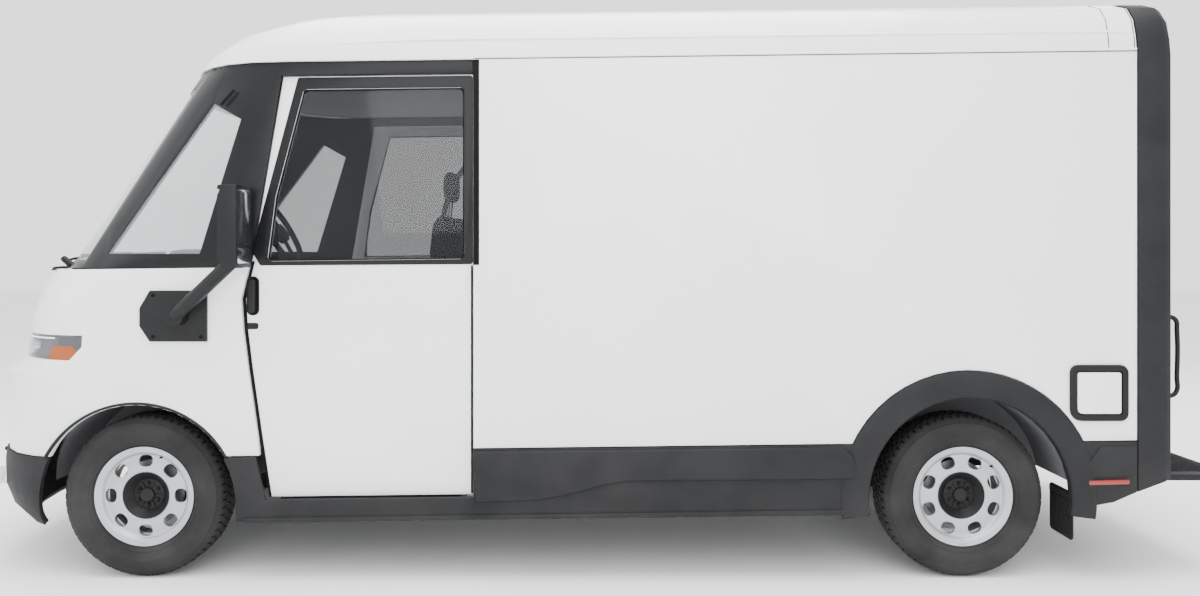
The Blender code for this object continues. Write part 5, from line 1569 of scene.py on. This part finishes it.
# --- cab
@dataclass
class DriverSeat:
    """Driver's seat with padded cushion, back and head restraint, belt and levers."""

    left: float = -0.68
    right: float = -0.225
    front: float = -1.372
    cap: float = 0.016
    voxel: float = 0.006
    quick_voxel: float = 0.012
    pressure: float = 4.0
    frames: int = 20
    seam: float = 0.01

    def build(self) -> None:
        """Model every piece of the seat."""
        middle = (self.left + self.right) / 2
        cushion = self.pad("seat_cushion_pad", [(self.front, self.left), (self.front + 0.47, self.left),
            (self.front + 0.47, self.right), (self.front, self.right)], "z", 1.14, 1.232)
        self.sew(cushion, 2, "y", (middle - 0.125, middle + 0.125), 0.01)
        self.sew(cushion, 2, "x", (self.front + 0.16, self.front + 0.3), 0.007)
        Yard.hang(cushion, "van", Finishes.FABRIC, "seat_fabric", ["seat_cushion"], 80.0)
        back = self.pad("seat_back_pad", [(self.left + 0.012, 1.18), (self.right - 0.012, 1.18),
            (self.right - 0.03, 1.74), (self.left + 0.03, 1.74)], "x", self.front + 0.545,
            self.front + 0.64)
        self.sew(back, 0, "y", (middle - 0.12, middle + 0.12), -0.009)
        self.sew(back, 0, "z", (1.36, 1.52), -0.006)
        Bench.tilt(back, "y", 6.0, (self.front + 0.56, 0.0, 1.16))
        Yard.hang(back, "van", Finishes.FABRIC, "seat_fabric", ["seat_back"], 80.0)
        rest = self.pad("seat_head_pad", [(middle - 0.12, 1.805), (middle + 0.12, 1.805),
            (middle + 0.105, 1.96), (middle - 0.105, 1.96)], "x", self.front + 0.632, self.front + 0.692)
        Yard.hang(rest, "van", Finishes.BOLSTER, "seat_fabric", (), 80.0)
        self.build_frame(middle)

    def pad(self, name: str, outline: Sequence[tuple], axis: str, low: float, high: float) -> Piece:
        """A pad swollen by air pressure from a rounded slab.

        Args:
            name: The object's name.
            outline: The slab's corners across the axis.
            axis: Axis of the slab's thickness.
            low: One face.
            high: The other face.

        Returns:
            The pad, with no point moved further than the cap.
        """
        rough = Bench.slab(name, rounded(outline, 0.055, 6), axis, low, high, 0.026, 4, both=True)
        Bench.take(rough)
        bpy.ops.object.duplicate(linked=False)
        piece = bpy.context.object
        bpy.data.objects.remove(rough, do_unlink=True)
        piece.name = name
        grid = piece.modifiers.new("grid", "REMESH")
        grid.mode = "VOXEL"
        grid.voxel_size = self.voxel
        bpy.ops.object.modifier_apply(modifier=grid.name)
        self.swell(piece)
        finer = piece.modifiers.new("finer", "SUBSURF")
        finer.levels = finer.render_levels = 1
        Bench.take(piece)
        bpy.ops.object.modifier_apply(modifier=finer.name)
        return piece

    def swell(self, piece: Piece) -> None:
        """Run the cloth under pressure, and keep each point within the cap."""
        start = [vertex.co.copy() for vertex in piece.data.vertices]
        tool = piece.modifiers.new("air", "CLOTH")
        tool.settings.use_pressure = True
        tool.settings.uniform_pressure_force = self.pressure
        tool.settings.quality = 4
        tool.settings.effector_weights.gravity = 0.0
        scene = bpy.context.scene
        for number in range(1, self.frames + 1):
            scene.frame_set(number)
        Bench.take(piece)
        bpy.ops.object.modifier_apply(modifier=tool.name)
        scene.frame_set(1)
        for vertex, origin in zip(piece.data.vertices, start):
            move = vertex.co - origin
            if move.length > self.cap:
                vertex.co = origin + move.normalized() * self.cap

    def sew(self, piece: Piece, number: int, across: str, lines: tuple, depth: float) -> None:
        """Press sewn channels into a pad.

        Args:
            piece: The pad.
            number: Axis that the channels are pressed along.
            across: Axis on which the channels are counted.
            lines: Places of the channels.
            depth: Their depth, negative from the low face.
        """
        along = "xyz".index(across)
        spots = [vertex.co[number] for vertex in piece.data.vertices]
        middle = (min(spots) + max(spots)) / 2
        for vertex in piece.data.vertices:
            if (vertex.co[number] - middle) * depth > 0:
                for line in lines:
                    share = math.exp(-((vertex.co[along] - line) / self.seam) ** 2)
                    vertex.co[number] -= depth * share

    def build_frame(self, middle: float) -> None:
        """Head restraint posts, back shell, recline knob, lever, belt and buckle."""
        top = self.front + 0.662
        posts = [Bench.tube("post", [(top - 0.014, y, 1.72), (top, y, 1.84)], 0.006, 3, smooth=False)
            for y in (middle - 0.055, middle + 0.055)]
        Yard.hang(Bench.join("seat_posts", posts), "van", Finishes.BARE, "steel")
        shell = Bench.slab("seat_shell", rounded([(self.left + 0.02, 1.15), (self.right - 0.02, 1.15),
            (self.right - 0.045, 1.73), (self.left + 0.045, 1.73)], 0.05, 5), "x", self.front + 0.64,
            self.front + 0.668, 0.012, 3)
        Bench.tilt(shell, "y", 6.0, (self.front + 0.56, 0.0, 1.16))
        Yard.hang(shell, "van", Finishes.SATIN, "grey_trim")
        knob = Bench.lathe("knob", [(0.0, -0.02), (0.028, -0.018), (0.034, -0.01), (0.034, 0.006),
            (0.0, 0.01)], (self.front + 0.555, self.left - 0.01, 1.2), steps=32)
        lever = Bench.brick("lever", (self.front + 0.18, self.left - 0.012, 1.105),
            (self.front + 0.32, self.left + 0.004, 1.122), 0.005, 3)
        Yard.hang(Bench.join("seat_levers", [knob, lever]), "van", Finishes.SATIN, "grey_trim")
        path = [(-0.53, -0.905, 2.02), (-0.64, -0.8, 1.9), (-0.735, -0.64, 1.7), (-0.79, -0.48, 1.48),
            (-0.83, -0.3, 1.29), (-0.85, -0.216, 1.16)]
        belt = Bench.tube("seat_belt", path, 0.013, 2)
        Yard.hang(belt, "van", Finishes.THREAD, "seat_fabric")
        buckle = Bench.brick("seat_buckle", (-0.875, -0.228, 1.07), (-0.835, -0.2, 1.19), 0.006, 3)
        Yard.hang(buckle, "van", Finishes.SATIN, "grey_trim")


@dataclass
class CabInside:
    """Dash screens and vents, stalks, pedals, and the bulkhead's ribs, door frame and rail."""

    face: float = -2.0
    wheel_y: float = -0.45

    def build(self) -> None:
        """Model the pieces around the driver."""
        self.build_dash()
        self.build_pedals()
        self.build_bulkhead()

    def build_dash(self) -> None:
        """Instrument hood, centre screen, vents and stalks."""
        hood = Bench.slab("dash_hood", rounded([(-2.13, 1.455), (-1.99, 1.455), (-1.975, 1.5),
            (-2.06, 1.56), (-2.13, 1.548)], 0.014, 4), "y", self.wheel_y - 0.17, self.wheel_y + 0.17, 0.008,
            3, both=True)
        Yard.hang(hood, "van", Finishes.DARK_TRIM, "grey_trim")
        gauge = Bench.slab("dash_gauge", pane(self.wheel_y - 0.14, 1.462, self.wheel_y + 0.14, 1.524, 0.01,
            3), "x", -2.0, -1.968, 0.002)
        screen = Bench.slab("dash_screen", pane(-0.14, 1.42, 0.14, 1.59, 0.012, 4), "x", -2.03, -1.985,
            0.004)
        Yard.hang(Bench.join("dash_screens", [gauge, screen]), "van", Finishes.SCREEN, "gloss_black")
        parts = []
        for y in (-0.86, -0.225, 0.245, 0.82):
            frame_piece = Bench.slab("vent", pane(y - 0.06, 1.33, y + 0.06, 1.4, 0.012, 3), "x",
                self.face - 0.01, self.face + 0.006, 0.003)
            Bench.cut(frame_piece, [Bench.brick("hole", (self.face - 0.02, y - 0.05, 1.34),
                (self.face + 0.02, y + 0.05, 1.39))])
            blade = Bench.brick("blade", (self.face - 0.008, y - 0.051, 1.347),
                (self.face + 0.003, y + 0.051, 1.35))
            Bench.row(blade, 4, (0.0, 0.0, 0.012))
            parts += [frame_piece, blade]
        Yard.hang(Bench.join("dash_vents", parts), "van", Finishes.SATIN, "grey_trim")
        stalks = [Bench.tube("stalk", [(-1.7, self.wheel_y, 1.6), (-1.705, self.wheel_y + sign * 0.1,
            1.612), (-1.69, self.wheel_y + sign * 0.165, 1.62)], 0.0085, 3) for sign in (-1, 1)]
        column = Bench.tube("column", [(-1.96, self.wheel_y, 1.45), (-1.69, self.wheel_y, 1.6)], 0.042, 5,
            False)
        Yard.hang(Bench.join("column_shroud", [column, *stalks]), "van", Finishes.SATIN, "grey_trim")

    def build_pedals(self) -> None:
        """Two pedals with their arms."""
        pads = []
        for y, wide in ((-0.505, 0.045), (-0.37, 0.03)):
            pad = Bench.brick("pad", (-1.962, y - wide, 0.84), (-1.948, y + wide, 0.93), 0.005, 2)
            arm = Bench.tube("arm", [(-1.955, y, 0.9), (-1.985, y, 1.03)], 0.008, 2, False)
            pads += [pad, arm]
        Yard.hang(Bench.join("pedals", pads), "van", Finishes.BARE, "steel")

    def build_bulkhead(self) -> None:
        """Frame of the doorway, pressed ribs and a grab rail on the bulkhead's cab face."""
        x = -0.517
        frame_piece = Bench.slab("door_frame", [(-0.03, 0.755), (0.65, 0.755), (0.65, 2.13), (-0.03, 2.13)],
            "x", x, x - 0.012, 0.004)
        Bench.cut(frame_piece, [Bench.brick("hole", (x - 0.05, 0.0, 0.7), (x + 0.05, 0.62, 2.1))])
        Yard.hang(frame_piece, "van", Finishes.BARE, "steel")
        rib = Bench.slab("bulkhead_ribs", pane(-0.9, 0.9, -0.872, 2.25, 0.012, 3), "x", x, x - 0.007, 0.005)
        Bench.row(rib, 8, (0.0, 0.115, 0.0))
        Yard.hang(rib, "van", Finishes.WALL, "grey_trim")
        rail = Bench.tube("grab_rail", [(x + 0.002, 0.72, 1.05), (x - 0.045, 0.72, 1.08),
            (x - 0.05, 0.72, 1.25), (x - 0.05, 0.72, 1.65), (x - 0.045, 0.72, 1.8),
            (x + 0.002, 0.72, 1.83)], 0.014, 3)
        Yard.hang(rail, "van", Finishes.ORANGE, "grey_trim")


# --- studio
@dataclass
class Studio:
    """Floor, lights and the camera."""

    floor_size: float = 60.0
    sky: float = 2.0
    camera_place: tuple = (0.018, -5.75, 1.57)
    focal: float = 30.165
    shift: tuple = (0.00833, -0.0425)

    def build(self) -> None:
        """Set up everything that isn't part of the van."""
        self.build_floor()
        self.build_sky()
        self.build_lights()
        self.build_camera()

    def build_floor(self) -> None:
        """A plain pale floor."""
        Bench.clear()
        bpy.ops.mesh.primitive_plane_add(size=self.floor_size, location=(0, 0, -0.0005))
        floor = bpy.context.object
        floor.name = "floor"
        finish = Finish("pale_floor", (0.88, 0.88, 0.88), 0.75, mottle=0.004, mottle_scale=0.6,
            specular=0.2)
        floor.data.materials.append(finish.material())

    def build_sky(self) -> None:
        """Even pale light from all round."""
        world = bpy.data.worlds.new("studio")
        bpy.context.scene.world = world
        world.use_nodes = True
        back = world.node_tree.nodes["Background"]
        back.inputs["Color"].default_value = (0.98, 0.99, 1.0, 1.0)
        back.inputs["Strength"].default_value = self.sky

    def build_lights(self) -> None:
        """Large soft lamps: over the van, and in front of the side that is seen."""
        lamps = (("top_light", (0.0, -1.0, 7.5), (0, 0, 0), 8.0, 1300.0),
            ("side_light", (0.5, -9.0, 5.0), (0, 0, 1.2), 7.0, 560.0),
            ("nose_light", (-8.5, -4.0, 4.0), (-1.0, 0, 1.2), 5.0, 160.0),
            ("tail_light_fill", (8.0, 5.0, 5.0), (0, 0, 1.2), 5.0, 160.0),)
        for name, place, aim, size, power in lamps:
            data = bpy.data.lights.new(name, "AREA")
            data.energy = power
            data.size = size
            lamp = bpy.data.objects.new(name, data)
            bpy.context.scene.collection.objects.link(lamp)
            lamp.location = place
            lamp.rotation_mode = "QUATERNION"
            lamp.rotation_quaternion = (Vector(aim) - Vector(place)).to_track_quat("-Z", "Y")

    def build_camera(self) -> None:
        """A level camera square to the left side."""
        data = bpy.data.cameras.new("camera")
        camera = bpy.data.objects.new("camera", data)
        bpy.context.scene.collection.objects.link(camera)
        camera.location = self.camera_place
        camera.rotation_euler = (math.pi / 2, 0.0, 0.0)
        data.sensor_width = 36.0
        data.lens = self.focal
        data.shift_x, data.shift_y = self.shift
        bpy.context.scene.camera = camera


def main() -> None:
    """Build the sub-assemblies in order."""
    logging.basicConfig(level=logging.INFO, format="%(name)s: %(message)s")
    Studio().build()
    BodyShell().build()
    for side in Side:
        for axle, x in (("front", FRONT_AXLE), ("rear", REAR_AXLE)):
            RoadWheel(axle, side, x, axle == "rear").build()
            Brake(axle, side, x).build()
    for assembly in (CabDoor, SideDress, RoofDress, FrontEnd, MirrorDress, RearEnd, DriverSeat, CabInside):
        assembly().build()
    LOG.info("%d pieces", Yard.count)


if __name__ == "__main__":
    main()
